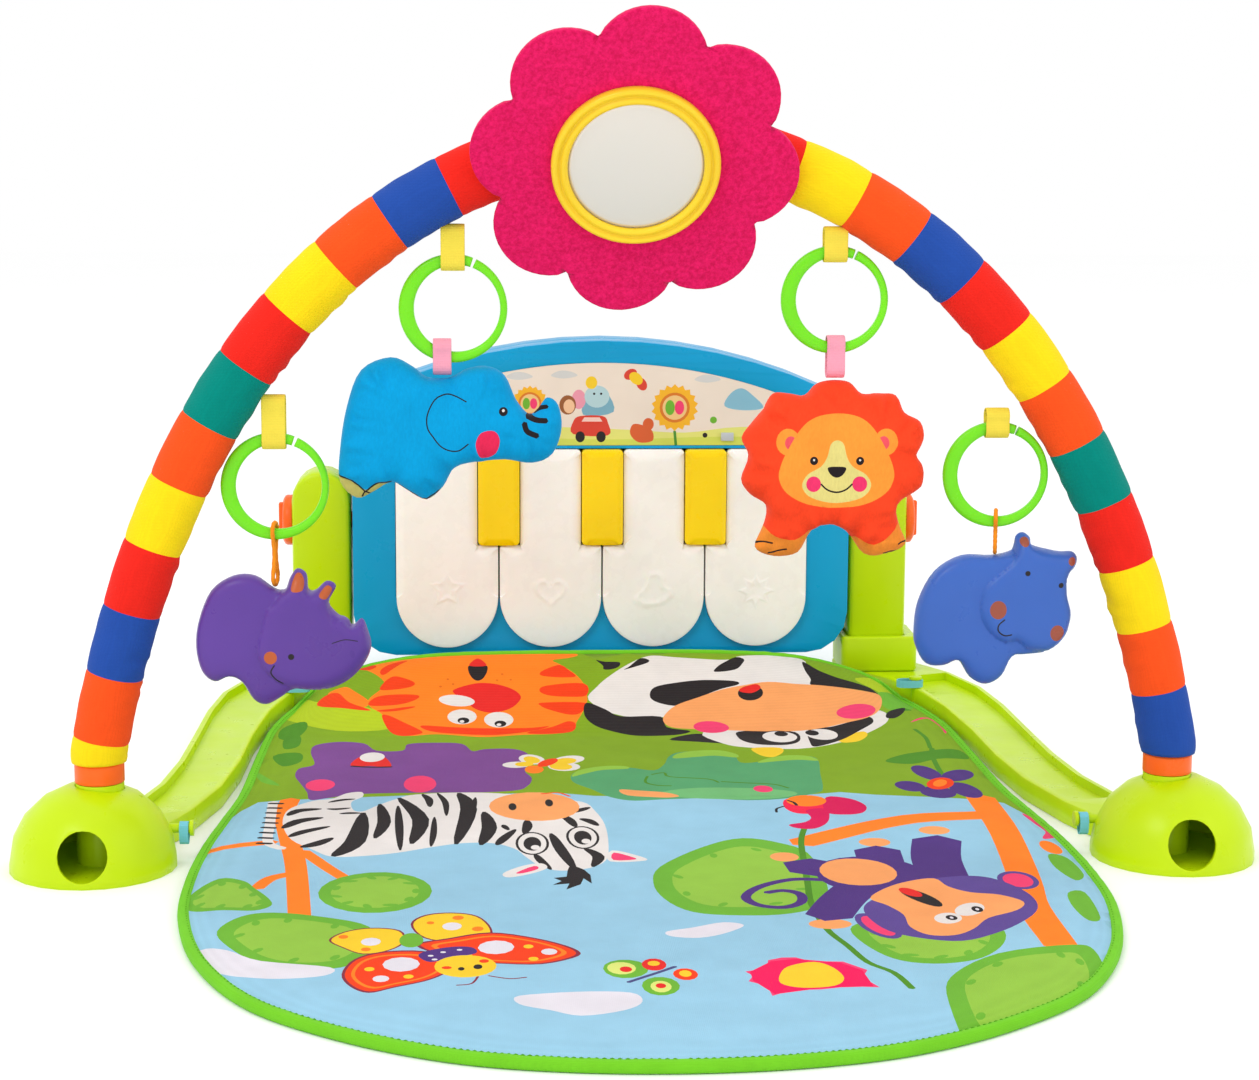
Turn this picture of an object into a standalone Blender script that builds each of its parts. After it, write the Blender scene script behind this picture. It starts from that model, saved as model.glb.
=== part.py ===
"""Activity play gym: a padded mat, a banded toy arch on two domed feet, and a kick piano.

Metres, +Z up, +Y towards the piano. The origin is on the floor under the middle of the
bounding box. Every object is one physical piece; empties mark the axes of moving pieces.
"""
import math

import bmesh
import bpy
from mathutils import Vector

# ---------------------------------------------------------------- driving dimensions
GAP = 0.0003                      # clearance between pieces that touch
HALF_WIDTH = 0.350                # centre plane to the outer side of a dome
ARCH_Y = -0.078                   # plane of the arch and of the hanging toys
MAT_FRONT_Y = -0.4145
BACK_Y = 0.4145

DOME_RADIUS = 0.046
DOME_HEIGHT = 0.0488
DOME_X = HALF_WIDTH - DOME_RADIUS
DOME_WALL = 0.0024
DOME_HOLE_RADIUS = 0.0136
DOME_HOLE_Z = 0.0170
SOCKET_X = 0.2995                 # axis of the arch's end plug
SOCKET_BORE = 0.0113
SOCKET_WALL = 0.0022
PEG_Z = 0.0190

RAIL_HEIGHT = 0.0140
RAIL_RIM = 0.0040
RAIL_FLOOR = 0.0085

COLUMN_WIDTH = 0.0420
COLUMN_DEPTH = 0.0420
COLUMN_INNER_X = 0.1814
COLUMN_TOP = 0.1620
COLUMN_Y = 0.3900
COLLAR_TOP = 0.0400
WALL = 0.0030

PIVOT_Y = 0.3920                  # the piano's tilt axis
PIVOT_Z = 0.1240
SHAFT_RADIUS = 0.0060
KNOB_RADIUS = 0.0185

ARCH_FOOT_Z = 0.0605              # where the fabric cover starts
ARCH_FOOT_ANGLE = math.radians(11)
ARCH_CROWN_SHARE = 0.655          # how much of the bend is left for the crown
ARCH_UPRIGHT = 0.0050             # straight start above each end plug
ARCH_STEPS = 14
COVER_RADIUS = 0.0155
COVER_WALL = 0.0020
ROD_RADIUS = 0.0110

PIANO_HALF = 0.1795
PIANO_BOTTOM = 0.0290
PIANO_TOP = 0.2570
PIANO_CROWN_RADIUS = 0.3900
PIANO_CORNER = 0.0300
PIANO_FRONT_Y = 0.3620
PIANO_SEAM_Y = 0.3840
PIANO_REAR_Y = 0.4100

KEY_PITCH = 0.0745
KEY_GAP = 0.0012
KEY_TOP = 0.1790
KEY_BOTTOM = 0.0350
KEY_FRONT_Y = PIANO_FRONT_Y - 0.0045
KEY_BACK_Y = 0.3720
SHARP_HALF = 0.0148
SHARP_BOTTOM = 0.1100
SHARP_FRONT_Y = KEY_FRONT_Y - 0.0030
LABEL_BOTTOM = 0.1815
LABEL_INSET = 0.0155
SWITCH_X = 0.0980
SWITCH_Z = 0.1880

RING_RADIUS = 0.0295
RING_DEPTH = 0.0056
RING_BAR = 0.0062                 # bar width where straps and loops hold it
RING_SHIFT = 0.0022               # the hole sits off centre, so one side is thicker

MAT_TOP = 0.0095
BINDING = 0.0050
MAT_BOW_START_Y = 0.1900           # behind this line the mat bows up off the floor
MAT_BOW_END_Y = 0.3320
MAT_BOW_RISE = 0.0333
MAT_BOW_X = -0.0030                # middle of the bow
MAT_BOW_HALF = 0.2140

SIDES = (("left", -1), ("right", 1))

LIME = (0.58, 0.82, 0.02)
BLUE = (0.0, 0.42, 0.74)
ORANGE = (1.0, 0.20, 0.02)
YELLOW = (1.0, 0.70, 0.0)
GREEN = (0.20, 0.80, 0.03)
WHITE = (0.89, 0.83, 0.78)
FELT_PINK = (0.80, 0.02, 0.13)
RIBBON_PINK = (0.86, 0.36, 0.47)
RIBBON_BLUE = (0.20, 0.58, 0.72)
COVER_RED = (0.86, 0.03, 0.02)
STEEL = (0.60, 0.60, 0.62)
BOARD = (0.03, 0.22, 0.08)
BLACK = (0.02, 0.02, 0.02)
SILVER = (0.90, 0.92, 0.94)
SKY = (0.34, 0.60, 0.75)
ELEPHANT_BLUE = (0.0, 0.30, 0.67)
LION_RED = (1.0, 0.07, 0.02)
RHINO_PURPLE = (0.17, 0.08, 0.43)
HIPPO_BLUE = (0.05, 0.14, 0.52)

parts = bpy.data.collections.new("play_gym")
cutters = bpy.data.collections.new("cutters")


# ---------------------------------------------------------------- building helpers
def clear_scene():
    for obj in list(bpy.data.objects):
        bpy.data.objects.remove(obj)
    bpy.context.scene.collection.children.link(parts)
    bpy.context.scene.collection.children.link(cutters)


def paint(obj, colour, roughness=0.35, metallic=0.0):
    """Give the object its own Principled material."""
    material = bpy.data.materials.new(obj.name)
    material.use_nodes = True
    shader = material.node_tree.nodes["Principled BSDF"]
    shader.inputs["Base Color"].default_value = (*colour, 1.0)
    shader.inputs["Roughness"].default_value = roughness
    shader.inputs["Metallic"].default_value = metallic
    material.diffuse_color = (*colour, 1.0)
    obj.data.materials.clear()
    obj.data.materials.append(material)
    return obj


def add_object(name, mesh, collection=parts):
    obj = bpy.data.objects.new(name, mesh)
    collection.objects.link(obj)
    return obj


def pivot(name, location):
    """An empty on a joint's axis."""
    empty = bpy.data.objects.new(name, None)
    empty.location = location
    empty.empty_display_size = 0.02
    parts.objects.link(empty)
    bpy.context.view_layer.update()
    return empty


def hang(parent, *children):
    """Parent the children to an empty and keep them where they are."""
    bpy.context.view_layer.update()
    for child in children:
        child.parent = parent
        child.matrix_parent_inverse = parent.matrix_world.inverted()


def mesh_from_curve(name, curve, collection=parts):
    """Turn curve data into a welded mesh object."""
    source = add_object(name + "_curve", curve, collection)
    graph = bpy.context.evaluated_depsgraph_get()
    mesh = bpy.data.meshes.new_from_object(source.evaluated_get(graph))
    bpy.data.objects.remove(source)
    work = bmesh.new()
    work.from_mesh(mesh)
    bmesh.ops.remove_doubles(work, verts=work.verts, dist=0.00002)
    bmesh.ops.dissolve_degenerate(work, edges=work.edges, dist=0.00002)
    bmesh.ops.recalc_face_normals(work, faces=work.faces)
    work.to_mesh(mesh)
    work.free()
    return add_object(name, mesh, collection)


def flat_piece(name, loops, thickness, rounding=0.0, steps=2, collection=parts):
    """A flat outline, or an outline with holes, given thickness along its own Z.

    A rounding draws the outline in by as much, so its overall size stays.
    """
    curve = bpy.data.curves.new(name, "CURVE")
    curve.dimensions = "2D"
    curve.fill_mode = "BOTH"
    curve.extrude = thickness / 2 - rounding
    curve.bevel_depth = rounding
    curve.bevel_resolution = steps if rounding else 0
    curve.render_resolution_u = 0
    curve.offset = -rounding
    for loop in loops:
        spline = curve.splines.new("POLY")
        spline.points.add(len(loop) - 1)
        for point, (x, y) in zip(spline.points, loop):
            point.co = (x, y, 0.0, 1.0)
        spline.use_cyclic_u = True
    return mesh_from_curve(name, curve, collection)


def standing_piece(name, loops, front_y, back_y, rounding=0.0, steps=2, collection=parts):
    """A flat piece whose outline is drawn in X and Z, between two Y planes."""
    obj = flat_piece(name, loops, back_y - front_y, rounding, steps, collection)
    obj.rotation_euler = (math.pi / 2, 0.0, 0.0)
    obj.location = (0.0, (front_y + back_y) / 2, 0.0)
    return obj


def lying_piece(name, loops, bottom_z, top_z, rounding=0.0, steps=2, collection=parts):
    """A flat piece whose outline is drawn in X and Y, between two heights."""
    obj = flat_piece(name, loops, top_z - bottom_z, rounding, steps, collection)
    obj.location = (0.0, 0.0, (bottom_z + top_z) / 2)
    return obj


def swept_tube(name, points, radius, sides=8, caps=True, closed=False):
    """A round bar along a list of points."""
    curve = bpy.data.curves.new(name, "CURVE")
    curve.dimensions = "3D"
    curve.bevel_depth = radius
    curve.bevel_resolution = sides // 2 - 2
    curve.render_resolution_u = 0
    curve.use_fill_caps = caps
    spline = curve.splines.new("POLY")
    spline.points.add(len(points) - 1)
    for point, co in zip(spline.points, points):
        point.co = (*co, 1.0)
    spline.use_cyclic_u = closed
    return mesh_from_curve(name, curve)


def turned_piece(name, profile, steps=32, location=(0, 0, 0), rotation=(0, 0, 0)):
    """A profile of (radius, height) points turned about the object's own Z.

    The profile is a closed outline that runs down its outer side. Points on the
    axis close the piece there.
    """
    mesh = bpy.data.meshes.new(name)
    work = bmesh.new()
    verts = [work.verts.new((radius, 0.0, height)) for radius, height in profile]
    for first, second in zip(verts, verts[1:]):
        work.edges.new((first, second))
    if profile[0][0] > 0.0:
        work.edges.new((verts[-1], verts[0]))
    work.to_mesh(mesh)
    work.free()
    obj = add_object(name, mesh)
    obj.location = location
    obj.rotation_euler = rotation
    screw = obj.modifiers.new("Turn", "SCREW")
    screw.axis = "Z"
    screw.steps = steps
    screw.render_steps = steps
    screw.use_merge_vertices = True
    screw.merge_threshold = 0.00002
    screw.use_smooth_shade = True
    return obj


def box(name, low, high, collection=parts, rounding=0.0):
    """A box between two corners."""
    mesh = bpy.data.meshes.new(name)
    work = bmesh.new()
    bmesh.ops.create_cube(work, size=1.0)
    size = [b - a for a, b in zip(low, high)]
    bmesh.ops.scale(work, vec=size, verts=work.verts)
    work.to_mesh(mesh)
    work.free()
    obj = add_object(name, mesh, collection)
    obj.location = [(a + b) / 2 for a, b in zip(low, high)]
    if rounding:
        bevel = obj.modifiers.new("Round", "BEVEL")
        bevel.width = rounding
        bevel.segments = 2
    return obj


def bar(name, radius, start, end, sides=24, collection=cutters):
    """A solid cylinder between two points."""
    start = Vector(start)
    end = Vector(end)
    mesh = bpy.data.meshes.new(name)
    work = bmesh.new()
    length = (end - start).length
    bmesh.ops.create_cone(work, cap_ends=True, segments=sides, radius1=radius, radius2=radius, depth=length)
    work.to_mesh(mesh)
    work.free()
    obj = add_object(name, mesh, collection)
    obj.location = (start + end) / 2
    obj.rotation_euler = (end - start).to_track_quat("Z", "Y").to_euler()
    return obj


def combine(obj, tool, operation):
    """Cut a tool from an object, or join it on."""
    tool.hide_render = True
    tool.display_type = "WIRE"
    boolean = obj.modifiers.new(tool.name, "BOOLEAN")
    boolean.operation = operation
    boolean.object = tool


def cut(obj, tool):
    combine(obj, tool, "DIFFERENCE")


def join(obj, tool):
    combine(obj, tool, "UNION")


# ---------------------------------------------------------------- outlines
def arc(centre_x, centre_y, radius, start, end, count):
    """Points on an arc, angles in degrees, both ends included."""
    points = []
    for i in range(count + 1):
        angle = math.radians(start + (end - start) * i / count)
        points.append((centre_x + radius * math.cos(angle), centre_y + radius * math.sin(angle)))
    return points


def circle(centre_x, centre_y, radius, count):
    return arc(centre_x, centre_y, radius, 0, 360, count)[:-1]


def rounded_rectangle(x0, y0, x1, y1, radius, count=4):
    return (arc(x1 - radius, y1 - radius, radius, 0, 90, count)
            + arc(x0 + radius, y1 - radius, radius, 90, 180, count)
            + arc(x0 + radius, y0 + radius, radius, 180, 270, count)
            + arc(x1 - radius, y0 + radius, radius, 270, 360, count))


def racetrack(width, height, count=5):
    """An upright outline with round ends, about its own middle."""
    radius = width / 2
    reach = height / 2 - radius
    return arc(0, reach, radius, 0, 180, count) + arc(0, -reach, radius, 180, 360, count)


def smooth_loop(points, per_span=2):
    """A closed smooth curve through the points, as a list of points."""
    result = []
    count = len(points)
    for i in range(count):
        p0, p1, p2, p3 = (Vector(points[(i + k) % count]) for k in (-1, 0, 1, 2))
        for step in range(per_span):
            t = step / per_span
            blend = (2 * p1 + (p2 - p0) * t + (2 * p0 - 5 * p1 + 4 * p2 - p3) * t * t
                     + (3 * p1 - p0 - 3 * p2 + p3) * t ** 3)
            result.append(tuple(blend / 2))
    return result


def mirrored(half):
    """Close a half outline, given from front to back at +X, with its mirror image."""
    return half + [(-x, y) for x, y in reversed(half) if abs(x) > 1e-6]


def arch_path():
    """Points of the cover's centre line from the left foot to the right one.

    Each half stands upright on its end plug, then turns from the foot's angle to level
    at the crown, with most of the bend near the crown, as a springy rod takes it.
    """
    count = ARCH_STEPS
    span = math.pi / 2 - ARCH_FOOT_ANGLE
    half = [(0.0, 0.0)]
    x = 0.0
    z = 0.0
    for i in range(count):
        u = (i + 0.5) / count
        lean = ARCH_FOOT_ANGLE + span * u * (1 - ARCH_CROWN_SHARE * (1 - u))
        x += math.sin(lean) / count
        z += math.cos(lean) / count
        half.append((x, z))
    scale = SOCKET_X / x
    start_z = ARCH_FOOT_Z + ARCH_UPRIGHT
    left = [(-SOCKET_X, ARCH_Y, ARCH_FOOT_Z)]
    left += [(-SOCKET_X + x * scale, ARCH_Y, start_z + z * scale) for x, z in half]
    right = [(-x, y, z) for x, y, z in reversed(left[:-1])]
    return left + right


def mat_outline(inset):
    """The mat's plan: straight beside the rails, one wide curve at the front."""
    half = [(0.0, MAT_FRONT_Y), (0.055, -0.4100), (0.105, -0.3960), (0.155, -0.3660),
            (0.200, -0.3220), (0.230, -0.2600), (0.2455, -0.1900), (0.2490, -0.1250),
            (0.2470, -0.0600), (0.2420, -0.0050), (0.2360, 0.0600), (0.2340, 0.1500),
            (0.2310, 0.2300), (0.2205, 0.2930), (0.2092, 0.3280), (0.2025, 0.3390),
            (0.1880, 0.3425), (0.1650, 0.3395), (0.1250, 0.3350), (0.0700, 0.3325)]
    loop = smooth_loop(mirrored(half), 1)
    return offset_loop(loop, inset)


def mat_lift(x, y):
    """Height of the bow: nothing at the sides, most in the middle of the rear edge."""
    along = (y - MAT_BOW_START_Y) / (MAT_BOW_END_Y - MAT_BOW_START_Y)
    along = min(max(along, 0.0), 1.0)
    across = max(1.0 - (abs(x - MAT_BOW_X) / MAT_BOW_HALF) ** 4, 0.0)
    return MAT_BOW_RISE * along ** 1.3 * across


def offset_loop(loop, inset):
    """Move each point of an anticlockwise loop inwards."""
    result = []
    count = len(loop)
    for i, point in enumerate(loop):
        along = Vector(loop[(i + 1) % count]) - Vector(loop[i - 1])
        along.normalize()
        result.append((point[0] - along.y * inset, point[1] + along.x * inset))
    return result


def rail_outline(side, inset):
    """Plan of one rail, from its centre line and its half width at each place."""
    stations = [(0.2930, -0.0560, 0.0195), (0.2760, -0.0050, 0.0195), (0.2640, 0.0500, 0.0195),
                (0.2585, 0.1100, 0.0195), (0.2565, 0.1800, 0.0195), (0.2530, 0.2500, 0.0215),
                (0.2460, 0.3050, 0.0240), (0.2320, 0.3500, 0.0260), (0.2120, 0.3850, 0.0270),
                (0.2040, 0.4145, 0.0275)]
    near = []
    far = []
    for i, (x, y, half) in enumerate(stations):
        before = Vector(stations[max(i - 1, 0)][:2])
        after = Vector(stations[min(i + 1, len(stations) - 1)][:2])
        along = (after - before).normalized()
        if i == len(stations) - 1:
            along = Vector((0.0, 1.0))
        reach = half - inset
        far.append((side * (x + along.y * reach), y - along.x * reach))
        near.append((side * (x - along.y * reach), y + along.x * reach))
    if inset:
        near = near[1:-2]
        far = far[1:-2]
    loop = far + near[::-1]
    return loop if side > 0 else loop[::-1]


def piano_outline(inset):
    """Front view of the piano: round lower corners, a wide arc on top."""
    half = PIANO_HALF - inset
    corner = PIANO_CORNER - inset
    crown = PIANO_CROWN_RADIUS - inset
    crown_z = PIANO_TOP - PIANO_CROWN_RADIUS
    reach = half - corner
    shoulder_z = crown_z + math.sqrt((crown - corner) ** 2 - reach ** 2)
    lean = math.degrees(math.asin(reach / (crown - corner)))
    bottom = PIANO_BOTTOM + inset
    return (arc(reach, bottom + corner, corner, -90, 0, 4)
            + arc(reach, shoulder_z, corner, 0, 90 - lean, 3)
            + arc(0.0, crown_z, crown, 90 - lean, 90 + lean, 12)[1:-1]
            + arc(-reach, shoulder_z, corner, 90 + lean, 180, 3)
            + arc(-reach, bottom + corner, corner, 180, 270, 4))


def key_outline(index):
    """One white key: round foot, and notches beside the yellow keys."""
    centre = (index - 1.5) * KEY_PITCH
    half = (KEY_PITCH - KEY_GAP) / 2
    neck = KEY_PITCH / 2 - SHARP_HALF - 0.0007
    left = neck if index > 0 else half
    right = neck if index < 3 else half
    loop = arc(centre, KEY_BOTTOM + half, half, 180, 360, 8)
    if right != half:
        loop += [(centre + half, SHARP_BOTTOM - 0.0007), (centre + right, SHARP_BOTTOM - 0.0007)]
    loop += arc(centre + right - 0.003, KEY_TOP - 0.003, 0.003, 0, 90, 2)
    loop += arc(centre - left + 0.003, KEY_TOP - 0.003, 0.003, 90, 180, 2)
    if left != half:
        loop += [(centre - left, SHARP_BOTTOM - 0.0007), (centre - half, SHARP_BOTTOM - 0.0007)]
    return loop


def key_window():
    """The opening that all the keys share, with a scallop for each key's foot."""
    edge = 2 * KEY_PITCH
    foot_z = KEY_BOTTOM + (KEY_PITCH - KEY_GAP) / 2
    loop = []
    for index in range(4):
        centre = (index - 1.5) * KEY_PITCH
        loop += arc(centre, foot_z, KEY_PITCH / 2, 180, 360, 8)[bool(index):]
    return loop + [(edge, KEY_TOP + 0.0006), (-edge, KEY_TOP + 0.0006)]


def label_outline(inset):
    """The picture panel: straight along the keys, arched on top, round ends."""
    half = 0.1520 - inset
    corner = 0.012
    crown = PIANO_CROWN_RADIUS - LABEL_INSET - inset
    crown_z = PIANO_TOP - PIANO_CROWN_RADIUS
    reach = half - corner
    shoulder_z = crown_z + math.sqrt((crown - corner) ** 2 - reach ** 2)
    lean = math.degrees(math.asin(reach / (crown - corner)))
    bottom = LABEL_BOTTOM + inset
    return (arc(half - 0.003, bottom + 0.003, 0.003, -90, 0, 2)
            + arc(reach, shoulder_z, corner, 0, 90 - lean, 3)
            + arc(0.0, crown_z, crown, 90 - lean, 90 + lean, 12)[1:-1]
            + arc(-reach, shoulder_z, corner, 90 + lean, 180, 3)
            + arc(-half + 0.003, bottom + 0.003, 0.003, 180, 270, 2))


def flower_outline(radius, petals=8, per_petal=6):
    """Round petals that meet in shallow notches."""
    loop = []
    for i in range(petals * per_petal):
        angle = 2 * math.pi * i / (petals * per_petal)
        bulge = abs(math.cos(petals * angle / 2)) ** 0.7
        reach = radius * (0.83 + 0.17 * bulge)
        loop.append((reach * math.sin(angle), reach * math.cos(angle)))
    return loop[::-1]


ELEPHANT = [(-60, -29), (-60, -12), (-56, 12), (-48, 32), (-32, 39), (-20, 34), (-12, 28), (0, 28),
            (10, 33), (21, 34), (30, 29), (36, 16), (43, 8), (48, 11), (53, 17), (59, 13),
            (61, 0), (56, -14), (45, -19), (30, -17), (17, -18), (3, -21), (-4, -32), (-13, -39),
            (-23, -34), (-32, -29), (-41, -34), (-51, -38)]
LION = [(-2, 48), (8, 47), (15, 41), (25, 41), (34, 40), (39, 31), (48, 26), (50, 17), (46, 9),
        (50, 2), (49, -8), (40, -14), (35, -19), (38, -30), (41, -39), (30, -44), (18, -44),
        (8, -32), (-2, -28), (-12, -31), (-19, -43), (-33, -45), (-43, -40), (-38, -28), (-37, -18),
        (-46, -12), (-51, -4), (-47, 8), (-51, 18), (-44, 27), (-39, 33), (-34, 41), (-25, 41),
        (-16, 40), (-10, 46)]
RHINO = [(-48, -5), (-46, 10), (-39, 26), (-27, 34), (-15, 34), (-5, 27), (4, 26), (15, 25), (23, 20),
         (28, 14), (31, 8), (37, 6), (45, 3), (48, -6), (43, -17), (33, -26), (20, -30), (6, -29),
         (-2, -34), (-10, -38), (-17, -35), (-23, -25), (-30, -22), (-38, -25), (-45, -19)]
HIPPO = [(-46, -7), (-44, 9), (-35, 26), (-20, 35), (-3, 35), (8, 38), (22, 42), (35, 37), (40, 25),
         (39, 14), (42, 2), (39, -10), (30, -19), (16, -21), (9, -22), (4, -33), (-5, -38),
         (-14, -34), (-21, -24), (-29, -27), (-39, -26), (-45, -16)]


def in_place(points, x, z):
    """An outline in millimetres about (x, z), as an anticlockwise smooth loop in metres."""
    loop = smooth_loop([(x + a / 1000, z + b / 1000) for a, b in points])
    area = sum(p[0] * q[1] - q[0] * p[1] for p, q in zip(loop, loop[1:] + loop[:1]))
    return loop if area > 0 else loop[::-1]


# ---------------------------------------------------------------- feet
def dome_skin(radius, height, skirt, count=6):
    """A quarter of the dome's section, from the crown down to the top of its skirt."""
    skin = []
    for i in range(count):
        angle = math.pi / 2 * (1 - i / (count - 1))
        skin.append((radius * math.cos(angle), skirt + (height - skirt) * math.sin(angle)))
    skin[0] = (0.0, height)
    return skin


def make_dome(label, side):
    skirt = 0.0050
    inner_radius = DOME_RADIUS - DOME_WALL
    outer = dome_skin(DOME_RADIUS, DOME_HEIGHT, skirt)
    inner = dome_skin(inner_radius, DOME_HEIGHT - DOME_WALL, skirt)
    profile = outer + [(DOME_RADIUS, 0.0), (inner_radius, 0.0)] + inner[::-1]
    dome = turned_piece("dome_" + label, profile, 24, (side * DOME_X, ARCH_Y, 0.0))
    hole = bar("dome_hole_" + label, DOME_HOLE_RADIUS,
               (side * DOME_X, ARCH_Y - DOME_RADIUS - 0.01, DOME_HOLE_Z),
               (side * DOME_X, ARCH_Y - 0.020, DOME_HOLE_Z))
    crown = bar("dome_crown_" + label, SOCKET_BORE + SOCKET_WALL + GAP,
                (side * SOCKET_X, ARCH_Y, DOME_HEIGHT - 0.012), (side * SOCKET_X, ARCH_Y, DOME_HEIGHT + 0.01))
    cut(dome, hole)
    cut(dome, crown)
    wall_x = DOME_X - DOME_RADIUS + 0.0052
    tip_x = DOME_X - DOME_RADIUS - 0.0070
    peg_y = ARCH_Y + 0.010
    peg = bar("peg_" + label, 0.0028, (side * wall_x, peg_y, PEG_Z), (side * tip_x, peg_y, PEG_Z), 12)
    head = bar("peg_head_" + label, 0.0046, (side * (tip_x + 0.0005), peg_y, PEG_Z),
               (side * (tip_x - 0.0015), peg_y, PEG_Z), 12)
    join(dome, peg)
    join(dome, head)
    return paint(dome, LIME)


def make_base(label, side):
    """Floor plate of a dome, with the upright socket that takes the arch's end."""
    radius = DOME_RADIUS - DOME_WALL - GAP
    plate = turned_piece("dome_base_" + label, [(0.0, 0.0035), (radius, 0.0035), (radius, 0.0), (0.0, 0.0)],
                         24, (side * DOME_X, ARCH_Y, 0.0))
    outer = SOCKET_BORE + SOCKET_WALL
    tube = turned_piece("socket_" + label, [(outer, DOME_HEIGHT), (outer, 0.0020), (SOCKET_BORE, 0.0020),
                                            (SOCKET_BORE, DOME_HEIGHT)],
                        16, (side * SOCKET_X, ARCH_Y, 0.0))
    move_to_cutters(tube)
    join(plate, tube)
    return paint(plate, LIME)


def make_end_plug(label, side):
    """Orange plug: a stem that drops into the socket, and a collar that rests on it."""
    stem = SOCKET_BORE - GAP
    collar = 0.0138
    seat = DOME_HEIGHT + GAP
    top = ARCH_FOOT_Z - GAP
    profile = [(0.0, top), (collar - 0.0010, top), (collar, top - 0.0010), (collar, seat), (stem, seat),
               (stem, 0.0080), (stem - 0.0015, 0.0065), (0.0, 0.0065)]
    return paint(turned_piece("arch_plug_" + label, profile, 16, (side * SOCKET_X, ARCH_Y, 0.0)), ORANGE)


# ---------------------------------------------------------------- rails and columns
def make_rail(label, side):
    rail = lying_piece("rail_" + label, [rail_outline(side, 0.0)], 0.0, RAIL_HEIGHT, 0.0012, 1)
    channel = lying_piece("channel_" + label, [rail_outline(side, RAIL_RIM)], RAIL_FLOOR,
                          RAIL_HEIGHT + 0.01, 0.0, 0, cutters)
    clearance = bar("dome_room_" + label, DOME_RADIUS + GAP, (side * DOME_X, ARCH_Y, -0.01),
                    (side * DOME_X, ARCH_Y, RAIL_HEIGHT + 0.01), 48)
    cut(rail, channel)
    cut(rail, clearance)
    peg_x = 0.2215
    peg_y = 0.3080
    peg = bar("rail_peg_" + label, 0.0028, (side * peg_x, peg_y, 0.004), (side * peg_x, peg_y, 0.0205), 12)
    head = bar("rail_peg_head_" + label, 0.0046, (side * peg_x, peg_y, 0.0200),
               (side * peg_x, peg_y, 0.0220), 12)
    join(rail, peg)
    join(rail, head)
    return paint(rail, LIME)


def column_outline(inset):
    """Front view of the right column: straight sides and a round top."""
    centre = COLUMN_INNER_X + COLUMN_WIDTH / 2
    half = COLUMN_WIDTH / 2 - inset
    foot = RAIL_HEIGHT + GAP
    bottom = foot if inset == 0.0 else foot - 0.01
    return arc(centre, COLUMN_TOP - COLUMN_WIDTH / 2, half, 0, 180, 10) + [(centre - half, bottom),
                                                                           (centre + half, bottom)]


def on_side(points, side):
    return points if side > 0 else [(-x, y) for x, y in reversed(points)]


def make_column(label, side):
    front = COLUMN_Y - COLUMN_DEPTH / 2
    back = COLUMN_Y + COLUMN_DEPTH / 2
    column = standing_piece("column_" + label, [on_side(column_outline(0.0), side)], front, back, 0.004, 1)
    hollow = standing_piece("column_hollow_" + label, [on_side(column_outline(WALL), side)],
                            front + WALL, back - WALL, 0.0, 0, cutters)
    bore = bar("column_bore_" + label, SHAFT_RADIUS + GAP, (side * 0.170, PIVOT_Y, PIVOT_Z),
               (side * 0.240, PIVOT_Y, PIVOT_Z))
    cut(column, hollow)
    cut(column, bore)
    return paint(column, LIME)


def make_collar(label, side):
    """Socket round the foot of a column."""
    outer_low = (side * 0.1762, PIANO_FRONT_Y)
    outer_high = (side * 0.2320, BACK_Y)
    xs = sorted((outer_low[0], outer_high[0]))
    outline = rounded_rectangle(xs[0], outer_low[1], xs[1], outer_high[1], 0.005, 3)
    collar = lying_piece("collar_" + label, [outline], RAIL_HEIGHT + GAP, COLLAR_TOP, 0.0015, 1)
    low = (COLUMN_INNER_X - GAP) * side
    high = (COLUMN_INNER_X + COLUMN_WIDTH + GAP) * side
    room = box("collar_room_" + label, (min(low, high), COLUMN_Y - COLUMN_DEPTH / 2 - GAP, 0.0),
               (max(low, high), COLUMN_Y + COLUMN_DEPTH / 2 + GAP, COLLAR_TOP + 0.01), cutters)
    cut(collar, room)
    return paint(collar, LIME)


def make_knob(label, side, axis):
    """Lock knob outside a column, with the shaft that carries the piano."""
    face = COLUMN_INNER_X + COLUMN_WIDTH + GAP
    tip = PIANO_HALF - 0.0100
    profile = [(0.0, 0.0070), (KNOB_RADIUS - 0.0030, 0.0070), (KNOB_RADIUS - 0.0006, 0.0055),
               (KNOB_RADIUS, 0.0040), (KNOB_RADIUS, 0.0), (SHAFT_RADIUS, 0.0), (SHAFT_RADIUS, tip - face),
               (0.0, tip - face)]
    knob = turned_piece("knob_" + label, profile, 18, (side * face, PIVOT_Y, PIVOT_Z),
                        (0.0, side * math.pi / 2, 0.0))
    grip = box("knob_grip_" + label, (min(side * (face + 0.0055), side * (face + 0.0105)), PIVOT_Y - 0.0025,
                                      PIVOT_Z - 0.0130),
               (max(side * (face + 0.0055), side * (face + 0.0105)), PIVOT_Y + 0.0025, PIVOT_Z + 0.0130),
               cutters, 0.0012)
    join(knob, grip)
    hang(axis, knob)
    return paint(knob, ORANGE)


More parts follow.
